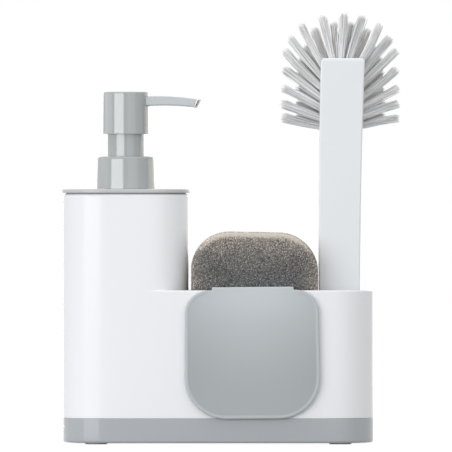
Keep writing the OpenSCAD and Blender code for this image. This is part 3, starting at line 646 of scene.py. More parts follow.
def dress(node: str, finish: Moulding) -> None:
    """Gives a kept CAD node its finish on the object's material slots."""
    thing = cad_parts[node]
    coat = finish.material()
    if not thing.material_slots:
        thing.data.materials.append(coat)
    for slot in thing.material_slots:
        slot.link = "OBJECT"
        slot.material = coat
    log.info("%s: kept, finish %s", node, finish.name)


@dataclass
class Holder:
    """The drip tray with its feet, the white moulding and the lid, all kept from the CAD model."""

    finishes: tuple[tuple[str, Moulding], ...] = (
        ("base_tray", GREY_BASE), ("base_feet", SOFT_FOOT), ("caddy_body", WHITE_SHELL),
        ("lid_plate", GREY_LID), ("lid_seal", SOFT_SEAL),
    )

    def build(self) -> None:
        """Dresses each node."""
        for node, finish in self.finishes:
            dress(node, finish)


@dataclass
class SoapPump:
    """The pump: kept turned parts, a new spout with an open tip and a smooth return spring."""

    reach: float = 46.9
    root_back: float = 2.5
    half_width: float = 4.2
    height: float = 6.1
    tip_height: float = 5.2
    drop: float = 1.6
    crown: float = 0.35
    slant: float = 0.52
    corner: float = 1.0
    head_radius: float = 14.4
    turn: float = math.radians(-13)
    slit_half_width: float = 1.6
    slit_half_height: float = 1.75
    slit_corner: float = 0.5
    slit_depth: float = 14.0
    mouth_steps: Span = (0.3, 1.2)
    lips: tuple[Span, ...] = ((0.0, 0.12), (0.0, 0.5), (-0.55, 0.75))
    spring_turns: float = 7.0
    spring_steps: int = 48
    spring_wire: float = 0.9
    spring_stroke: float = 13.6

    def axis(self) -> Array:
        """Place of the pump's axis: the middle of the collar's box."""
        low, high = corner_box("collar")
        return (low + high) / 2

    def spout(self) -> Piece:
        """The spout: a drooping rounded bar that tapers, with a slanted tip and a slit channel.

        Formula: at distance x from the axis, with s the share of the way past the head, the height is
        root + (tip - root) * s and the middle lies at root - drop * s * s + crown * sin(180 s). The last
        ring leans back by the slant, then steps in to the slit and runs back inside. The faces from the
        last but one outer ring to the slit's edge are the paler end, a painted highlight.
        """
        middle = corner_box("spout")[1][2] - self.height / 2

        def level(at: Array) -> tuple[Array, Array]:
            """Height of the middle line and half height of the bar at a distance."""
            s = np.clip((at - self.head_radius) / (self.reach - self.head_radius), 0, 1)
            line = middle - self.drop * s**2 + self.crown * np.sin(math.pi * s)
            return line, (self.height + (self.tip_height - self.height) * s) / 2

        share = np.append(np.linspace(0, 0.985, 34), 1.0)
        bar = -self.root_back + (self.reach + self.root_back) * share
        channel = self.reach - np.array([*self.mouth_steps, self.slit_depth])
        lip, inset = np.array(self.lips).T
        line, half = level(bar)
        tip_line, tip_half = line[-1], half[-1]
        halves = np.concatenate([
            np.stack([np.full_like(bar, self.half_width), half], -1),
            np.array([self.half_width, tip_half]) - inset[:, None],
            np.full((len(channel), 2), [self.slit_half_width, self.slit_half_height]),
        ])
        radii = np.concatenate([np.full_like(bar, self.corner), np.maximum(self.corner - inset, 0.3),
                                np.full_like(channel, self.slit_corner)])
        flat = rounded_outlines(halves, radii, 6)
        out = np.concatenate([bar, self.reach + lip, channel])
        lines = np.concatenate([line, np.full_like(lip, tip_line), level(channel)[0]])
        stack = np.stack([np.broadcast_to(out[:, None], flat.shape[:2]), flat[..., 0],
                          lines[:, None] + flat[..., 1]], -1)
        lean = soft_step(self.reach - 2.4, self.reach - 0.2, stack[..., 0])
        lean[len(bar):] = 1.0
        lean[-1] = 0.0
        stack[..., 0] += lean * self.slant * (stack[..., 2] - tip_line - tip_half)
        place = self.axis()
        stack += np.array([place[0], place[1], 0.0])
        shell = Shell()
        shell.sweep(turned(stack, self.turn, place, (0, 1)))
        piece = shell.build("pump_spout", [SPOUT_GREY_PAINTED_LIGHT.material(), SPOUT_END_PAINTED_HIGHLIGHT.material()])
        around = stack.shape[1]
        # The end faces take the paler grey: a painted highlight.
        coats = np.zeros(len(piece.data.polygons), np.int32)
        coats[(len(bar) - 2) * around:(len(bar) + len(lip)) * around] = 1
        piece.data.polygons.foreach_set("material_index", coats)
        even_normals(piece)
        return seat(piece, Body.PUMP_HEAD, "spout_grey", "spout")

    def spring(self) -> Piece:
        """The return spring: a round wire along a helix.

        Formula: the line is (r cos a, r sin a, z) with z rising evenly over the turns; the ring round it
        is wire radius * (cos b along the radius, sin b upwards), b running clockwise.
        """
        low, high = corner_box("return_spring")
        radius = (high[0] - low[0]) / 2 - self.spring_wire / 2
        steps = int(self.spring_turns * self.spring_steps)
        angle = np.linspace(0, 2 * math.pi * self.spring_turns, steps + 1)[:, None]
        inner = self.spring_wire / 2
        rise = np.linspace(low[2] + inner, high[2] - inner, steps + 1)[:, None]
        around = -np.linspace(0, 2 * math.pi, 12, endpoint=False)[None, :]
        out = radius + inner * np.cos(around)
        place = self.axis()
        rings = np.stack([place[0] + out * np.cos(angle), place[1] + out * np.sin(angle),
                          rise + inner * np.sin(around)], -1)
        shell = Shell()
        shell.sweep(rings)
        piece = shell.build("pump_spring", [SPRING_STEEL.material()], crease=60)
        seat(piece, Body.PUMP_CORE, "spring_steel", "return_spring")
        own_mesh(piece)
        return piece

    def build(self) -> None:
        """Dresses the kept parts and makes the new ones."""
        for node, finish in (
            ("collar", GREY_PUMP), ("neck_sleeve", GREY_PUMP), ("head_cap", GREY_PUMP),
            ("pump_cylinder", PUMP_NATURAL), ("collar_gasket", GASKET_FOAM), ("inlet_ball", VALVE_STEEL),
            ("dip_tube", PUMP_NATURAL), ("piston", PUMP_NATURAL), ("piston_stem", PUMP_NATURAL),
        ):
            dress(node, finish)
        self.spout()
        self.spring()


@dataclass
class HangingPlate:
    """The plate in front of the bay, its bridge over the rim and the leg behind the wall."""

    width: float = 83.7
    height: float = 79.6
    thickness: float = 3.4
    top_radius: float = 14.5
    low_radius: float = 25.5
    flare: float = 0.5
    bridge_width: float = 50.4
    bridge_shift: float = 0.6
    bridge_rise: float = 1.9
    bridge_corner: float = 1.0
    bridge_fillet: float = 0.5
    bridge_clearance: float = 9.0
    reach_back: float = 8.0
    leg_thickness: float = 1.6
    leg_length: float = 30.0
    hook_setback: float = 1.2
    hook_gap: float = 0.02
    hook_edge: float = 0.5
    hook_rounds: tuple[float, ...] = (0.6, 0.4, 0.75, 0.9)
    front_round: float = 0.9
    back_round: float = 0.4
    crown: float = 0.45
    rim_width: float = 1.5
    rim_slope: float = 0.9
    rim_height: float = 0.24
    hang: float = math.radians(0.5)
    slide: float = -1.05
    # Painted light on the face, as factors on its colour: lighter up the face as if lit from above, a
    # painted highlight near the top middle, painted shade towards the sides and a painted highlight on
    # the rim.
    low_shade: float = 0.885
    high_shade: float = 1.16
    shade_rise: Span = (0.15, 1.02)
    painted_top_highlight: float = 0.08
    top_highlight_rise: Span = (0.7, 0.95)
    painted_left_shade: float = 0.17
    painted_right_shade: float = 0.13
    side_shade_rise: Span = (0.05, 0.55)
    side_shade_power: float = 1.8
    painted_rim_highlight: float = 1.08

    def outline(self, inset: float) -> Array:
        """Outline of the face, with the bridge's end standing out of its top edge.

        Formula: arcs round the plate's four corners, and an inner and an outer arc at each end of the
        bridge. Drawing the outline in takes the inset from the outer radii and adds it to the inner
        ones.

        Args:
            inset: How far the outline is drawn in, in millimetres.

        Returns:
            Points as across and up from the middle of the plate's lower edge, anticlockwise to a
            viewer in front.
        """
        half, top, low = self.width / 2, self.top_radius, self.low_radius
        span, corner, fillet = self.bridge_width / 2, self.bridge_corner, self.bridge_fillet
        rise = self.height + self.bridge_rise
        start, end = self.bridge_shift - span, self.bridge_shift + span
        arcs = np.array([
            [half - low, low, low - inset, -90, 0],
            [half - self.flare - top, self.height - top, top - inset, 0, 90],
            [end + fillet, self.height + fillet, fillet + inset, 270, 180],
            [end - corner, rise - corner, corner - inset, 0, 90],
            [start + corner, rise - corner, corner - inset, 90, 180],
            [start - fillet, self.height + fillet, fillet + inset, 0, -90],
            [self.flare + top - half, self.height - top, top - inset, 90, 180],
            [low - half, low, low - inset, 180, 270],
        ])
        return arc_path(arcs, (14, 4, 0, 24, 0, 4, 14, 16), (14, 12, 3, 4, 4, 3, 12, 14))

    def inland(self, x: Array, z: Array) -> Array:
        """How far each place of the face lies from the plate's edge, the bridge's stretch left out.

        Formula: in a corner it is the radius less the distance to the corner's centre, elsewhere the
        distance to the nearest straight side.
        """
        half = self.width / 2 - self.flare * np.clip(z / self.height, 0, 1)
        upper = z > self.height / 2
        radius = np.where(upper, self.top_radius, self.low_radius)
        across = np.abs(x) - half + radius
        up = np.where(upper, z - self.height, -z) + radius
        span = self.bridge_width / 2
        bridge = 1 - soft_step(span - 1, span + 5, np.abs(x - self.bridge_shift))
        up = np.where(upper, up - self.bridge_clearance * bridge, up)
        corner = np.hypot(np.maximum(across, 0), np.maximum(up, 0))
        return radius - corner - np.minimum(np.maximum(across, up), 0)

    def slab(self, face: float) -> Array:
        """Rings of the plate from its back to the middle of its crowned face.

        Formula: quarter-round steps at the back and the front edge; then rings shrunk towards the
        middle. The thickness is shortened by crown * (0.5 |u|^2.5 + 0.5 |v|^2.5), where u and v run from
        -1 to 1 across and up the face, and inside the rim by the rim's height.
        """
        turn = np.radians(np.linspace(0, 90, 7))
        rise, draw = 1 - np.cos(turn), 1 - np.sin(turn)
        back = face + self.thickness
        depths = np.concatenate([back - self.back_round * rise, face + self.front_round * draw])
        insets = np.concatenate([self.back_round * draw, self.front_round * rise])
        rings = [np.insert(self.outline(inset), 1, depth, axis=1) for depth, inset in zip(depths, insets)]
        middle = np.array([0.0, face, self.height / 2])
        shares = np.concatenate([np.linspace(0.995, 0.93, 16), np.linspace(0.9, 0.06, 22)])
        shrunk = middle + shares[:, None, None] * (rings[-1] - middle)
        stack = np.concatenate([np.stack(rings), shrunk])
        across = np.abs(stack[..., 0]) / (self.width / 2)
        up = np.abs(stack[..., 2] - self.height / 2) / (self.height / 2)
        fall = self.crown * (0.5 * across**2.5 + 0.5 * up**2.5)
        fall += self.rim_height * soft_step(self.rim_width, self.rim_width + self.rim_slope,
                                            self.inland(stack[..., 0], stack[..., 2]))
        stack[..., 1] = back + (stack[..., 1] - back) * (1 - fall / self.thickness)
        return stack

    def hook(self, face: float) -> Array:
        """Rings of the bridge and the leg, carried along their width.

        Formula: one outline of arcs in depth and height, drawn in by quarter-round steps at both ends.
        """
        rim, top = self.height, self.height + self.bridge_rise - self.hook_gap
        front, back = face + self.hook_setback, face + self.reach_back
        leg, foot = back - self.leg_thickness, top - self.leg_length
        near, bend, toe, heel = self.hook_rounds
        turn = np.radians(np.linspace(0, 90, 5))
        rings = []
        for a in turn:
            inset = self.hook_edge * (1 - math.sin(a))
            x = self.bridge_width / 2 - self.hook_gap - self.hook_edge * (1 - math.cos(a))
            arcs = np.array([
                [front + near, rim + near, near - inset, 180, 270],
                [leg - bend, rim - bend, bend + inset, 90, 0],
                [leg + toe, foot + toe, toe - inset, 180, 270],
                [back - toe, foot + toe, toe - inset, 270, 360],
                [back - heel, top - heel, heel - inset, 0, 90],
                [front + near, top - near, near - inset, 90, 180],
            ])
            rings.append(np.insert(arc_path(arcs, (3, 12, 0, 12, 3, 0), (6,) * 6), 0, x, axis=1))
        right = np.stack(rings)
        return np.concatenate([right * [-1, 1, 1], right[::-1]])

    def lift(self, x: Array, z: Array) -> Array:
        """Painted light and shade of the face: painted light up the face and towards the middle of its
        top, painted shade towards the sides and a painted highlight on the rim.

        Formula: from the low to the high shade up the face, times 1 + highlight * top * (1 - u^2) less
        side shade * |u|^power * (0.3 + 0.7 * rise), where u runs from -1 to 1 across the face. Over the
        rim's slope it passes to the rim's painted highlight.
        """
        u, v = x / (self.width / 2), z / self.height
        shade = self.low_shade + (self.high_shade - self.low_shade) * soft_step(*self.shade_rise, v)
        side_shade = np.where(u < 0, self.painted_left_shade, self.painted_right_shade) * np.abs(u)**self.side_shade_power
        shade *= (1 + self.painted_top_highlight * soft_step(*self.top_highlight_rise, v) * np.clip(1 - u**2, 0, 1)
                  - side_shade * (0.3 + 0.7 * soft_step(*self.side_shade_rise, v)))
        inner = soft_step(self.rim_width - 0.3, self.rim_width + self.rim_slope, self.inland(x, z))
        return self.painted_rim_highlight + (shade - self.painted_rim_highlight) * inner

    def build(self) -> Piece:
        """The plate as one piece that hangs a little askew from the bridge's left end."""
        low, high = corner_box("front_plate")
        middle = (low[0] + high[0]) / 2 + self.slide
        shell = Shell(("lift",))
        slab = self.slab(low[1])
        hook = self.hook(low[1]) + np.array([self.bridge_shift, 0.0, 0.0])
        # The mark lift is painted light and shade: lighter up the face, shaded to the sides, highlighted
        # on the rim.
        shade = self.lift(slab[..., 0], slab[..., 2])
        place = np.array([middle, 0.0, low[2]])
        pivot = place + np.array([-self.bridge_width / 2, 0.0, self.height])
        shell.sweep(turned(slab + place, self.hang, pivot, (0, 2)),
                    lift=np.append(shade, [1.0, shade[-1].mean()]))
        # The bridge and the leg take the top level of the painted light.
        shell.sweep(turned(hook + place, self.hang, pivot, (0, 2)), lift=self.high_shade)
        piece = shell.build("hanging_plate_shell", [GREY_PLATE.material()])
        return seat(piece, Body.HANGING_PLATE, "grey_plate", "front_plate")


@dataclass
class DishSponge:
    """The sponge: a soft slab of open-cell foam with large corners.

    The pores are modelled finely above hidden_height; below it the plate covers the sponge.
    """

    width: float = 78.7
    height: float = 109.6
    thickness: float = 25.0
    radius: float = 24.2
    edge: float = 2.6
    band: float = 3.1
    top_turn: Span = (0.2, 0.8)
    rim_fade: Span = (0.6, 2.2)
    side_reach: float = 5.0
    top_reach: float = 9.0
    cloud_length: float = 9.0
    fine: float = 0.42
    coarse: float = 1.1
    hidden_height: float = 66.0
    rim_step: float = 0.5
    cell: float = 1.08
    depth: float = 0.45
    unevenness: float = 0.06
    swell_length: float = 14.0
    lean: float = math.tan(math.radians(1.1))

    def side(self, length: float, radius: float, share: Array) -> tuple[Array, Array]:
        """One side of a rounded rectangle between the middles of its two corner arcs.

        Formula: by distance s along the side: half an arc, the straight run, half an arc. Returns the
        distance along the side from its middle and the drop in from its line.
        """
        half_arc = radius * math.pi / 4
        run = length - 2 * radius
        s = share * (2 * half_arc + run)
        first = math.pi / 4 - s / radius
        last = (s - half_arc - run) / radius
        inner = length / 2 - radius
        arcs = [s < half_arc, s > half_arc + run]
        along = np.select(arcs, [-inner - radius * np.sin(first), inner + radius * np.sin(last)],
                          s - half_arc - inner)
        return along, np.select(arcs, [radius * (1 - np.cos(first)), radius * (1 - np.cos(last))], 0.0)

    def boundary(self, inset: float, u: Array, v: Array) -> list[Array]:
        """The four sides of the slab's outline, drawn in by an inset: bottom, right, top and left.

        Bottom and top run to the right, left and right upwards, as points across and up from the
        slab's middle.
        """
        half_w, half_h, radius = self.width / 2 - inset, self.height / 2 - inset, self.radius - inset
        along_u, drop_u = self.side(2 * half_w, radius, u)
        along_v, drop_v = self.side(2 * half_h, radius, v)
        return [np.stack([along_u, drop_u - half_h], -1), np.stack([half_w - drop_v, along_v], -1),
                np.stack([along_u, half_h - drop_u], -1), np.stack([drop_v - half_w, along_v], -1)]

    def net(self) -> tuple[Array, Array]:
        """Shares across and up the slab at which its skin has points, coarser behind the plate."""
        saving = 0.43 * self.radius
        u = np.linspace(0, 1, int((self.width - saving) / self.fine))
        seen = self.height - saving - self.hidden_height
        steps = np.concatenate([np.full(int(self.hidden_height / self.coarse), self.coarse),
                                np.full(int(seen / self.fine), self.fine)])
        return u, np.append(0.0, np.cumsum(steps)) / steps.sum()

    def face(self, u: Array, v: Array) -> Array:
        """Points of the front face.

        Formula: a surface stretched between the four sides, each point being the sum of the two straight
        blends between opposite sides less the blend of the corners.
        """
        bottom, right, top, left = self.boundary(self.edge, u, v)
        uu, vv = u[:, None, None], v[None, :, None]
        flat = ((1 - vv) * bottom[:, None] + vv * top[:, None] + (1 - uu) * left[None] + uu * right[None]
                - (1 - uu) * (1 - vv) * bottom[0] - uu * (1 - vv) * bottom[-1]
                - (1 - uu) * vv * top[0] - uu * vv * top[-1])
        return np.insert(flat.reshape(-1, 2), 1, 0.0, axis=1)

    def rim(self, u: Array, v: Array) -> tuple[Array, Array]:
        """Rings of the slab's rim from front to back, and the way out at each of their points.

        Formula: the rings follow a quarter round, the straight thickness and another quarter round.
        """
        turn = np.radians(np.linspace(0, 90, 8))[1:]
        run = np.linspace(self.edge, self.thickness - self.edge,
                          int((self.thickness - 2 * self.edge) / self.rim_step))[1:-1]
        level = np.zeros(len(run))
        sink, draw = self.edge * (1 - np.cos(turn)), self.edge * (1 - np.sin(turn))
        depths = np.concatenate([sink, run, self.thickness - sink[::-1]])
        insets = np.concatenate([draw, level, draw[::-1]])
        outs = np.concatenate([np.sin(turn), level + 1, np.sin(turn[::-1])])
        backs = np.concatenate([-np.cos(turn), level, np.cos(turn[::-1])])
        rings, outward = [], []
        for depth, inset, out, back in zip(depths, insets, outs, backs):
            bottom, right, top, left = self.boundary(inset, u, v)
            path = np.concatenate([bottom[:-1], right[:-1], top[:0:-1], left[:0:-1]])
            ahead = unit(np.roll(path, -1, axis=0) - np.roll(path, 1, axis=0))
            rings.append(np.insert(path, 1, depth, axis=1))
            outward.append(np.insert(out * np.stack([ahead[:, 1], -ahead[:, 0]], -1), 1, back, axis=1))
        return np.concatenate(rings), np.concatenate(outward)

    def zones(self, points: Array) -> dict[str, Array]:
        """Point marks: the struts, the pale band round the top, the brown towards the rim, the clouds.

        The pale band is painted light from above; the brown is the foam's own colour, lightened towards
        the rim by painted light.

        Formula: gap is the distance in from the slab's outline, and top rises from 0 at the sides to 1
        at the top. The band is pale while gap is less than its width, and less so on the rim. The brown
        fades with exp(-distance / reach), counted from the band.
        """
        spread = np.abs(points[:, ::2]) - np.array([self.width, self.height]) / 2 + self.radius
        gap = self.radius - np.linalg.norm(np.maximum(spread, 0), axis=-1) - np.minimum(spread.max(-1), 0)
        across, up = np.maximum(spread, 0.01).T
        top = soft_step(*self.top_turn, np.arctan2(up, across) * 2 / math.pi)
        side = soft_step(*self.rim_fade, np.minimum(points[:, 1], self.thickness - points[:, 1]))
        reach = self.side_reach + (self.top_reach - self.side_reach) * top
        return {
            "strut": foam_struts(points, self.cell, 11),
            # pale: painted light from above; brown: own colour, lightened towards the outline by painted
            # light.
            "pale": top * (1 - soft_step(self.band - 0.7, self.band + 1.1, gap)) * (1 - 0.6 * side),
            "brown": (0.8 + 0.2 * top) * np.exp(-np.maximum(gap - self.band * top, 0) / reach),
            "cloud": waves(points, self.cloud_length, 5),
        }

    def build(self) -> Piece:
        """The sponge as one closed skin whose pores are pressed into it.

        Formula: every point of the two faces and the rim moves inwards by depth * (1 - strut) plus a
        gentle unevenness, and the top leans.
        """
        low, high = corner_box("sponge")
        u, v = self.net()
        front = self.face(u, v)
        rings, outward = self.rim(u, v)
        points = np.concatenate([front, rings, front + np.array([0.0, self.thickness, 0.0])])
        ahead = np.broadcast_to([0.0, -1.0, 0.0], front.shape)
        normals = np.concatenate([ahead, outward, -ahead])
        rear = len(front) + len(rings)
        number = np.arange(len(front)).reshape(len(u), len(v))
        quads = np.stack([number[:-1, :-1], number[1:, :-1], number[1:, 1:], number[:-1, 1:]], -1)
        quads = quads.reshape(-1, 4)
        loop = np.concatenate([number[:-1, 0], number[-1, :-1], number[:0:-1, -1], number[0, :0:-1]])
        middle = np.arange(len(front), rear).reshape(-1, len(loop))
        hoops = np.concatenate([[loop], middle, [loop + rear]])
        here, there = hoops[:-1], hoops[1:]
        walls = np.stack([here, there, np.roll(there, -1, 1), np.roll(here, -1, 1)], -1).reshape(-1, 4)
        marks = self.zones(points)
        swell = self.unevenness * (1 + waves(points, self.swell_length, 8))
        press = self.depth * (1 - marks["strut"]) + swell
        points = points - normals * press[:, None]
        points[:, 2] -= points[:, 0] * self.lean * (0.5 + points[:, 2] / self.height)
        place = np.array([(low[0] + high[0]) / 2, low[1], (low[2] + high[2]) / 2])
        shell = Shell(tuple(marks))
        shell.add(points + place, [quads, walls, quads[:, ::-1] + rear], **marks)
        piece = shell.build("sponge_pad_foam", [SPONGE_FOAM.material()], crease=180)
        return seat(piece, Body.SPONGE_PAD, "sponge_foam", "sponge")


@dataclass
class DishBrush:
    """The dish brush: a swept handle, a thin head and three rows of tufts behind it."""

    foot_width: float = 24.5
    top_width: float = 27.35
    half_thickness: float = 7.0
    edge: float = 1.2
    foot_edge: float = 1.0
    sweep: float = 2.4
    join: float = 163.5
    length: float = 217.2
    groove: float = 0.1
    top_corner: float = 2.3
    top_bevel: float = 0.8
    back_step: float = 4.8
    step_height: float = 8.0
    step_round: float = 0.6
    block_half: float = 8.5
    block_slice: float = 2.6
    block_below_top: float = 4.0
    fan_offset: float = -1.45
    fan_half: float = 36.8
    fan_low: float = 16.9
    fan_height: float = 64.25
    fan_lean: float = 2.3
    lean_power: int = 25
    rim_depths: Span = (1.3, 9.3)
    middle_depths: Span = (3.9, 20.9)
    middle_reach: float = 0.84
    middle_cut: float = 0.18
    middle_side: Span = (16.0, 30.0)
    back_columns: int = 4
    back_levels: int = 5
    back_depth: float = 17.0
    back_spread: float = 0.55
    back_swell: float = 1.2
    stagger: float = 2.0
    stagger_limit: float = 17.2
    tip_x: tuple[float, ...] = (0.973, 0.979, 0.97, 0.95, 0.946, 0.846, 0.671, 0.345)
    tip_z: tuple[float, ...] = (0, 0.135, 0.289, 0.47, 0.649, 0.772, 0.9, 0.979)
    root_x: tuple[float, ...] = (1, 1, 1, 1, 1, 1, 1, 0.5)
    root_z: tuple[float, ...] = (0, 0.12, 0.26, 0.42, 0.58, 0.73, 0.88, 1)
    strands: int = 46
    strand_radius: float = 0.24
    strand_points: int = 5
    strand_levels: tuple[float, ...] = (0.0, 0.2, 0.45, 0.7, 0.93, 1.0)
    strand_end: float = 0.62
    strand_cap: float = 0.12
    root_radius: float = 1.8
    root_sink: float = 0.9
    tip_radius: float = 2.8
    tip_spread: Span = (0.86, 1.12)
    tip_scatter: float = 0.28
    tip_dome: float = 0.9
    trim_scatter: float = 0.55
    bow_across: float = 0.35
    bow_strand: float = 0.3
    bow_tuft: float = 0.45
    shade_strand: float = 0.36
    shade_tuft: float = 0.1

    def foot(self) -> Array:
        """Middle of the handle's foot, from the handle's box."""
        low, high = corner_box("brush_handle")
        return np.array([low[0] + self.foot_width / 2, (low[1] + high[1]) / 2, low[2]])

    def fan_place(self) -> Array:
        """The foot's place moved under the middle of the fan."""
        return self.foot() + np.array([self.sweep + self.fan_offset, 0.0, 0.0])

    def bar(self, heights: Array, insets: Array, front: Array, back: Array) -> Array:
        """Rings of the swept bar with rounded long edges.

        Formula: at height h above the foot the middle lies at sweep * (h / length)^3 and the half width
        grows evenly from foot to top. Each ring is four quarter arcs, drawn in by the inset.

        Args:
            heights: Heights above the foot.
            insets: Draw-in of each ring.
            front: Front of each ring from the brush's middle plane.
            back: Back of each ring from the brush's middle plane.

        Returns:
            Array of shape (rings, steps, 3), anticlockwise from above.
        """
        share = heights / self.length
        half = (self.foot_width + (self.top_width - self.foot_width) * share) / 2 - insets
        halves = np.stack([half, (back - front) / 2 - insets], -1)
        flat = rounded_outlines(halves, np.maximum(self.edge - insets, 0.3), 9)
        foot = self.foot()
        x = foot[0] + self.sweep * share**3
        y = foot[1] + (front + back) / 2
        return np.stack([x[:, None] + flat[..., 0], y[:, None] + flat[..., 1],
                         np.broadcast_to((foot[2] + heights)[:, None], flat.shape[:2])], -1)

    def moulded(self, name: str, node: str, rings: Array) -> Piece:
        """A white piece of the brush, in place of a CAD node."""
        shell = Shell()
        shell.sweep(rings)
        piece = shell.build(name, [BRUSH_WHITE.material()])
        even_normals(piece)
        return seat(piece, Body.BRUSH, "brush_white", node)

    def handle(self) -> Piece:
        """The handle, rounded at the foot and with a fine groove at the join."""
        turn = np.linspace(0, math.pi / 2, 6)
        rise, draw = 1 - np.cos(turn), 1 - np.sin(turn)
        run = np.linspace(2, self.join - 1.2, 40)
        heights = np.concatenate([self.foot_edge * rise, run, self.join - self.groove * draw])
        insets = np.concatenate([self.foot_edge * draw, 0 * run, self.groove * rise])
        thick = np.full(len(heights), self.half_thickness)
        return self.moulded("brush_handle_bar", "brush_handle", self.bar(heights, insets, -thick, thick))

    def head(self) -> Piece:
        """The head: full thickness at the join, then a thin blade in front of the tufts."""
        turn = np.linspace(0, math.pi / 2, 7)
        rise, draw = 1 - np.cos(turn), 1 - np.sin(turn)
        ledge = self.join + self.step_height - 0.3
        lower = np.linspace(self.join + 1, ledge - self.step_round, 5)
        upper = np.append(ledge, np.linspace(ledge + 0.5, self.length - self.top_corner - 0.3, 16))
        heights = np.concatenate([self.join + self.groove * rise, lower, ledge - self.step_round * draw,
                                  upper, self.length - self.top_corner * draw])
        insets = np.concatenate([self.groove * draw, 0 * lower, 0 * turn, 0 * upper,
                                 self.top_corner * rise])
        full = self.half_thickness
        backs = np.full(len(heights), full - self.back_step)
        backs[:len(turn) + len(lower)] = full
        backs[len(turn) + len(lower):][:len(turn)] = full - self.step_round * rise
        spare = np.zeros(len(heights))
        spare[-len(turn):] = (self.top_corner - self.top_bevel) * rise
        return self.moulded("brush_head_blade", "brush_head",
                            self.bar(heights, insets, -full - spare, backs + spare))

    def fan(self, x_shares: tuple[float, ...], z_shares: tuple[float, ...], half: float,
            low: float, high: float) -> Array:
        """Places along the fan, from the lowest left tuft over the top to the lowest right one.

        Formula: the middle plus or minus the half width times the width shares, at heights that divide
        low to high by the height shares, with one more place at the top. Returns (places, 2).
        """
        across, up = np.array(x_shares) * half, low + (high - low) * np.array(z_shares)
        return np.stack([np.concatenate([-across, [0.0], across[::-1]]),
                         np.concatenate([up, [high], up[::-1]])], -1)

    def tufts(self, row: Row) -> tuple[Array, Array]:
        """Roots and tips of a row's tufts, from the middle of the fan and the foot's height.

        The rim and the middle row follow the fan. The back row fills the block's rear in columns, set
        higher and lower by turns.
        """
        blade = self.half_thickness - self.back_step
        low, high = self.join + self.step_height, self.length - self.block_below_top
        if row is Row.BACK:
            columns, levels = self.back_columns, self.back_levels
            across = self.block_half * (2 * (np.arange(columns) + 0.5) / columns - 1)
            up = (high - low) * ((np.arange(levels) + 0.5) / levels - 0.5)
            grid = np.stack(np.meshgrid(across, up, indexing="ij"), -1).reshape(-1, 2)
            shift = self.stagger * np.repeat([-1, 1] * (columns // 2), levels)
            grid[:, 1] = np.clip(grid[:, 1] + shift, -self.stagger_limit, self.stagger_limit)
            middle = np.array([0.0, blade + 3 * self.block_slice, (high + low) / 2])
            roots = middle + np.insert(grid, 1, 0.0, axis=1)
            return roots, roots + np.insert(self.back_spread * grid, 1, self.back_depth, axis=1)
        fan_foot = self.join + self.fan_low
        roots = self.fan(self.root_x, self.root_z, self.block_half, low + self.block_slice, high)
        tips = self.fan(self.tip_x, self.tip_z, self.fan_half, fan_foot, fan_foot + self.fan_height)
        tips[:, 0] += self.fan_lean * ((tips[:, 1] - fan_foot) / self.fan_height)**self.lean_power
        start, end = self.rim_depths
        if row is Row.MIDDLE:
            start, end = self.middle_depths
            roots, tips = (roots[1:] + roots[:-1]) / 2, (tips[1:] + tips[:-1]) / 2
            side = soft_step(*self.middle_side, np.abs(tips[:, :1]))
            tips = roots + (self.middle_reach - self.middle_cut * side) * (tips - roots)
        return np.insert(roots, 1, blade + start, axis=1), np.insert(tips, 1, blade + end, axis=1)

    def strand_skin(self, roots: Array, tips: Array, row: Row, shell: Shell) -> None:
        """Adds every strand of a row as a thin tube with a rounded tip.

        Formula: strand k of n stands at sqrt((k + 0.5) / n) times the tuft's radius, turned by k golden
        turns, at its root and, wider, at its tip. Between them it follows root + (tip - root) * t with a
        bow of b * 4 t (1 - t) to one side. Rings of points follow that line, one at each strand level.

        Args:
            roots: Roots of the tufts, of shape (tufts, 3).
            tips: Tips of the tufts, of shape (tufts, 3).
            row: Row of the tufts, which also seeds their scatter.
            shell: Piece that gets the strands.
        """
        rng = np.random.default_rng(40 + row.value)
        count, number = len(roots), self.strands
        ways = unit(tips - roots)
        lift = np.where(np.abs(ways[:, 1:2]) > np.abs(ways[:, 2:3]), [0.0, 0.0, 1.0], [0.0, 1.0, 0.0])
        first = unit(np.cross(ways, lift))
        second = np.cross(ways, first)
        k = np.arange(number)
        ring = np.sqrt((k + 0.5) / number)[None, :, None]
        angle = k * GOLDEN_TURN + rng.uniform(0, 6, (count, 1))
        across = np.cos(angle)[..., None] * first[:, None] + np.sin(angle)[..., None] * second[:, None]
        swollen = self.back_swell if row is Row.BACK else 1.0
        size = self.tip_radius * swollen * rng.uniform(*self.tip_spread, (count, 1, 1))
        jitter = rng.normal(0, self.tip_scatter, (count, number, 3))
        trim = rng.normal(0, self.trim_scatter, (count, number, 1)) - self.tip_dome * ring**2
        root = roots[:, None] - self.root_sink * ways[:, None] + self.root_radius * ring * across
        tip = tips[:, None] + size * ring * across + trim * ways[:, None] + jitter
        bow = (rng.normal(0, self.bow_across, (count, number, 1)) * across
               + rng.normal(0, self.bow_strand, (count, number, 3))
               + rng.normal(0, self.bow_tuft, (count, 1, 3)))
        levels, around = np.array(self.strand_levels), self.strand_points
        t = levels[None, None, :, None]
        line = root[:, :, None] + (tip - root)[:, :, None] * t + bow[:, :, None] * 4 * t * (1 - t)
        aim = unit(tip - root)
        side = unit(np.cross(aim, first[:, None] + 0.3 * second[:, None]))
        other = np.cross(aim, side)
        turn = np.linspace(0, 2 * math.pi, around, endpoint=False)[:, None]
        hoop = np.cos(turn) * side[:, :, None, :] + np.sin(turn) * other[:, :, None, :]
        swell = np.full((len(levels), 1, 1), self.strand_radius)
        swell[-1] *= self.strand_end
        tubes = line[:, :, :, None, :] + swell * hoop[:, :, None]
        total, rim = count * number, (len(levels) - 1) * around
        per = rim + around + 1
        cap = line[:, :, -1] + self.strand_cap * aim
        points = np.concatenate([tubes.reshape(total, -1, 3), cap.reshape(total, 1, 3)], 1)
        step = np.arange(around)
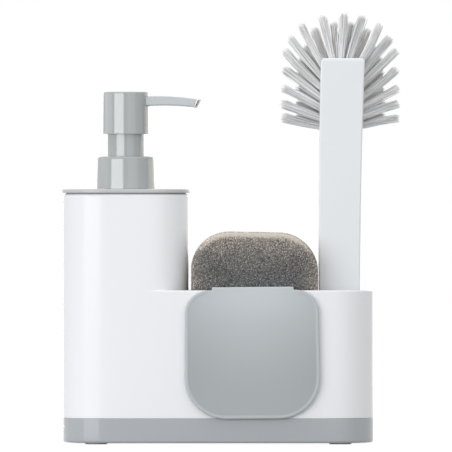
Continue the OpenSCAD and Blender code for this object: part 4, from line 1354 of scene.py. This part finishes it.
        fan = np.stack([np.full(around, per - 1), rim + step, rim + (step + 1) % around], -1)
        close = np.stack([np.full(around - 2, around - 1), step[-2:0:-1], step[-3::-1]], -1)
        start = (np.arange(total) * per)[:, None, None]
        faces = [(start + part).reshape(-1, part.shape[1])
                 for part in (ring_faces(len(levels), around), fan, close)]
        shade = rng.normal(0.5, self.shade_strand, (total, 1))
        shade = np.clip(shade + rng.normal(0, self.shade_tuft, (count, 1)).repeat(number, 0), 0, 1)
        reach = np.append(np.repeat(levels, around), 1.0)
        shell.add(points.reshape(-1, 3), faces, shade=shade.repeat(per), reach=np.tile(reach, total))

    def block(self, row: Row, shell: Shell) -> None:
        """Adds the row's slice of the tuft block: a six-cornered plate carried through its thickness."""
        low, high = self.join + self.step_height, self.length - self.block_below_top
        root_low = low + self.block_slice
        wide = self.block_half + 0.5
        shoulder = root_low + (high - root_low) * self.root_z[-2] + 0.25
        side = np.array([[wide, low], [wide, shoulder], [self.block_half / 2 + 0.25, high + 0.5]])
        path = np.concatenate([side, side[::-1] * [-1, 1]])
        centre = path.mean(0)
        start = self.half_thickness - self.back_step + row.value * self.block_slice
        end = start + self.block_slice
        rings = [np.insert(centre + (path - centre) * (1 - inset / 16), 1, depth, axis=1)
                 for depth, inset in ((end, 0.4), (end - 0.3, 0.06), (end - 0.6, 0.0), (start, 0.0))]
        shell.sweep(np.stack(rings) + self.fan_place(), coat=1, shade=0.6, reach=0.5)

    def row(self, row: Row, node: str, finish: Filament) -> Piece:
        """One row of tufts with its slice of the block, in place of a CAD node."""
        shell = Shell(("shade", "reach"))
        roots, tips = self.tufts(row)
        place = self.fan_place()
        self.strand_skin(roots + place, tips + place, row, shell)
        self.block(row, shell)
        coats = [finish.material(), BRUSH_WHITE.material()]
        piece = shell.build("tufts_" + row.name.lower(), coats, crease=50)
        return seat(piece, Body.BRUSH, "bristle_nylon", node)

    def build(self) -> None:
        """Makes the handle, the head and the three rows."""
        self.handle()
        self.head()
        self.row(Row.RIM, "bristles_rim", BRISTLE_FRONT)
        # The middle and back rows take the darker copy of the nylon: painted shade.
        self.row(Row.MIDDLE, "bristles_mid", BRISTLE_PAINTED_SHADE)
        self.row(Row.BACK, "bristles_back", BRISTLE_PAINTED_SHADE)


@dataclass(frozen=True)
class SoftBox:
    """A flat soft light that shines at a point."""

    name: str
    place: Point
    aim: Point
    size: Span
    radiance: float
    colour: Colour = (1.0, 1.0, 1.0)

    def build(self) -> None:
        """Makes the lamp; its power is radiance times area times pi."""
        lamp = bpy.data.lights.new(self.name, "AREA")
        lamp.shape = "RECTANGLE"
        lamp.size, lamp.size_y = self.size
        lamp.energy = self.radiance * math.pi * self.size[0] * self.size[1]
        lamp.color = self.colour
        thing = linked(self.name, lamp)
        thing.location = self.place
        way = np.array(self.aim) - np.array(self.place)
        level = math.hypot(way[0], way[1])
        thing.rotation_euler = (math.atan2(level, -way[2]), 0, math.atan2(-way[0], way[1]))
        thing.visible_camera = False
        log.info("%s: soft light, radiance %.2f", self.name, self.radiance)


@dataclass
class Studio:
    """A white sweep under soft lights, and the camera at the photograph's place."""

    distance: float = 6.4
    eye_x: float = -0.00345
    eye_z: float = 0.155
    mid_y: float = 0.00135
    lens: float = 822.0
    sensor: float = 36.0
    shift: float = -0.0714
    clip: Span = (0.1, 50.0)
    lights: tuple[SoftBox, ...] = (
        SoftBox("key_light", (-0.708, -0.905, 0.215), (0.0, 0.0, 0.14), (1.0, 0.27), 5.7),
        SoftBox("base_strip", (-0.15, -0.104, 0.011), (-0.088, -0.0255, 0.011), (0.09, 0.02), 1.3),
        SoftBox("top_light", (0.0, -0.05, 0.95), (0.0, 0.0, 0.1), (0.9, 0.7), 1.2),
        SoftBox("fill_light", (0.5, -1.07, 0.3), (0.0, 0.0, 0.13), (0.9, 0.8), 0.8),
        SoftBox("rear_light", (0.1, 1.3, 0.35), (0.0, 0.0, 0.13), (1.2, 0.8), 1.0),
        SoftBox("side_panel", (-0.97, 0.17, 0.235), (-0.06, 0.0, 0.235), (0.9, 0.06), 1.5),
        SoftBox("warm_panel", (0.67, 0.743, 0.25), (0.0, 0.0, 0.13), (1.5, 0.15), 1.2, (1.0, 0.93, 0.66)),
    )
    sky: float = 0.73
    floor_half: float = 6000.0
    floor_shade: float = 0.34
    floor_roughness: float = 0.9
    floor_glow: float = 0.86

    def floor(self) -> None:
        """A wide white floor that keeps the object's shadow."""
        shell = Shell()
        corners = self.floor_half * np.array([[-1, -1, 0], [1, -1, 0], [1, 1, 0], [-1, 1, 0]])
        shell.add(corners, [np.array([[0, 1, 2, 3]])])
        material, shader, wiring = new_material("studio_floor")
        shade = self.floor_shade
        wiring.fill(shader, {"Base Color": (shade, shade, shade, 1), "Roughness": self.floor_roughness,
                             "Specular IOR Level": 0.0})
        glow = wiring.node("Emission", {
            "Strength": wiring.math("MULTIPLY", wiring.seen_directly(), self.floor_glow),
        })
        both = wiring.node("AddShader", {0: shader.outputs[0], 1: glow.outputs[0]})
        wiring.fill(material.node_tree.nodes["Material Output"], {"Surface": both.outputs[0]})
        shell.build("studio_floor", [material])

    def world(self) -> None:
        """An even sky: soft for lighting, plain white where the camera or a gloss looks at it."""
        world = bpy.data.worlds.new("studio_sky")
        world.use_nodes = True
        wiring = Wiring(world.node_tree)
        strength = wiring.ranged(wiring.seen_directly(), (0.0, 1.0), (self.sky, 1.0))
        wiring.fill(world.node_tree.nodes["Background"], {"Color": (1, 1, 1, 1), "Strength": strength})
        bpy.context.scene.world = world

    def camera(self) -> None:
        """The camera: level, far back, with a long lens and a small downward shift."""
        data = bpy.data.cameras.new("photo_camera")
        data.lens = self.lens
        data.sensor_width = self.sensor
        data.shift_y = self.shift
        data.clip_start, data.clip_end = self.clip
        thing = linked("photo_camera", data)
        thing.location = (self.eye_x, self.mid_y - self.distance, self.eye_z)
        thing.rotation_euler = (math.pi / 2, 0, 0)
        bpy.context.scene.camera = thing

    def build(self) -> None:
        """Sets up floor, sky, lights and camera."""
        bpy.context.scene.view_settings.view_transform = "Standard"
        self.floor()
        self.world()
        for light in self.lights:
            light.build()
        self.camera()


def main() -> None:
    """Builds every sub-assembly in order."""
    logging.basicConfig(level=logging.INFO, format="%(name)s: %(message)s")
    Studio().build()
    Holder().build()
    SoapPump().build()
    HangingPlate().build()
    DishSponge().build()
    DishBrush().build()


if __name__ == "__main__":
    main()
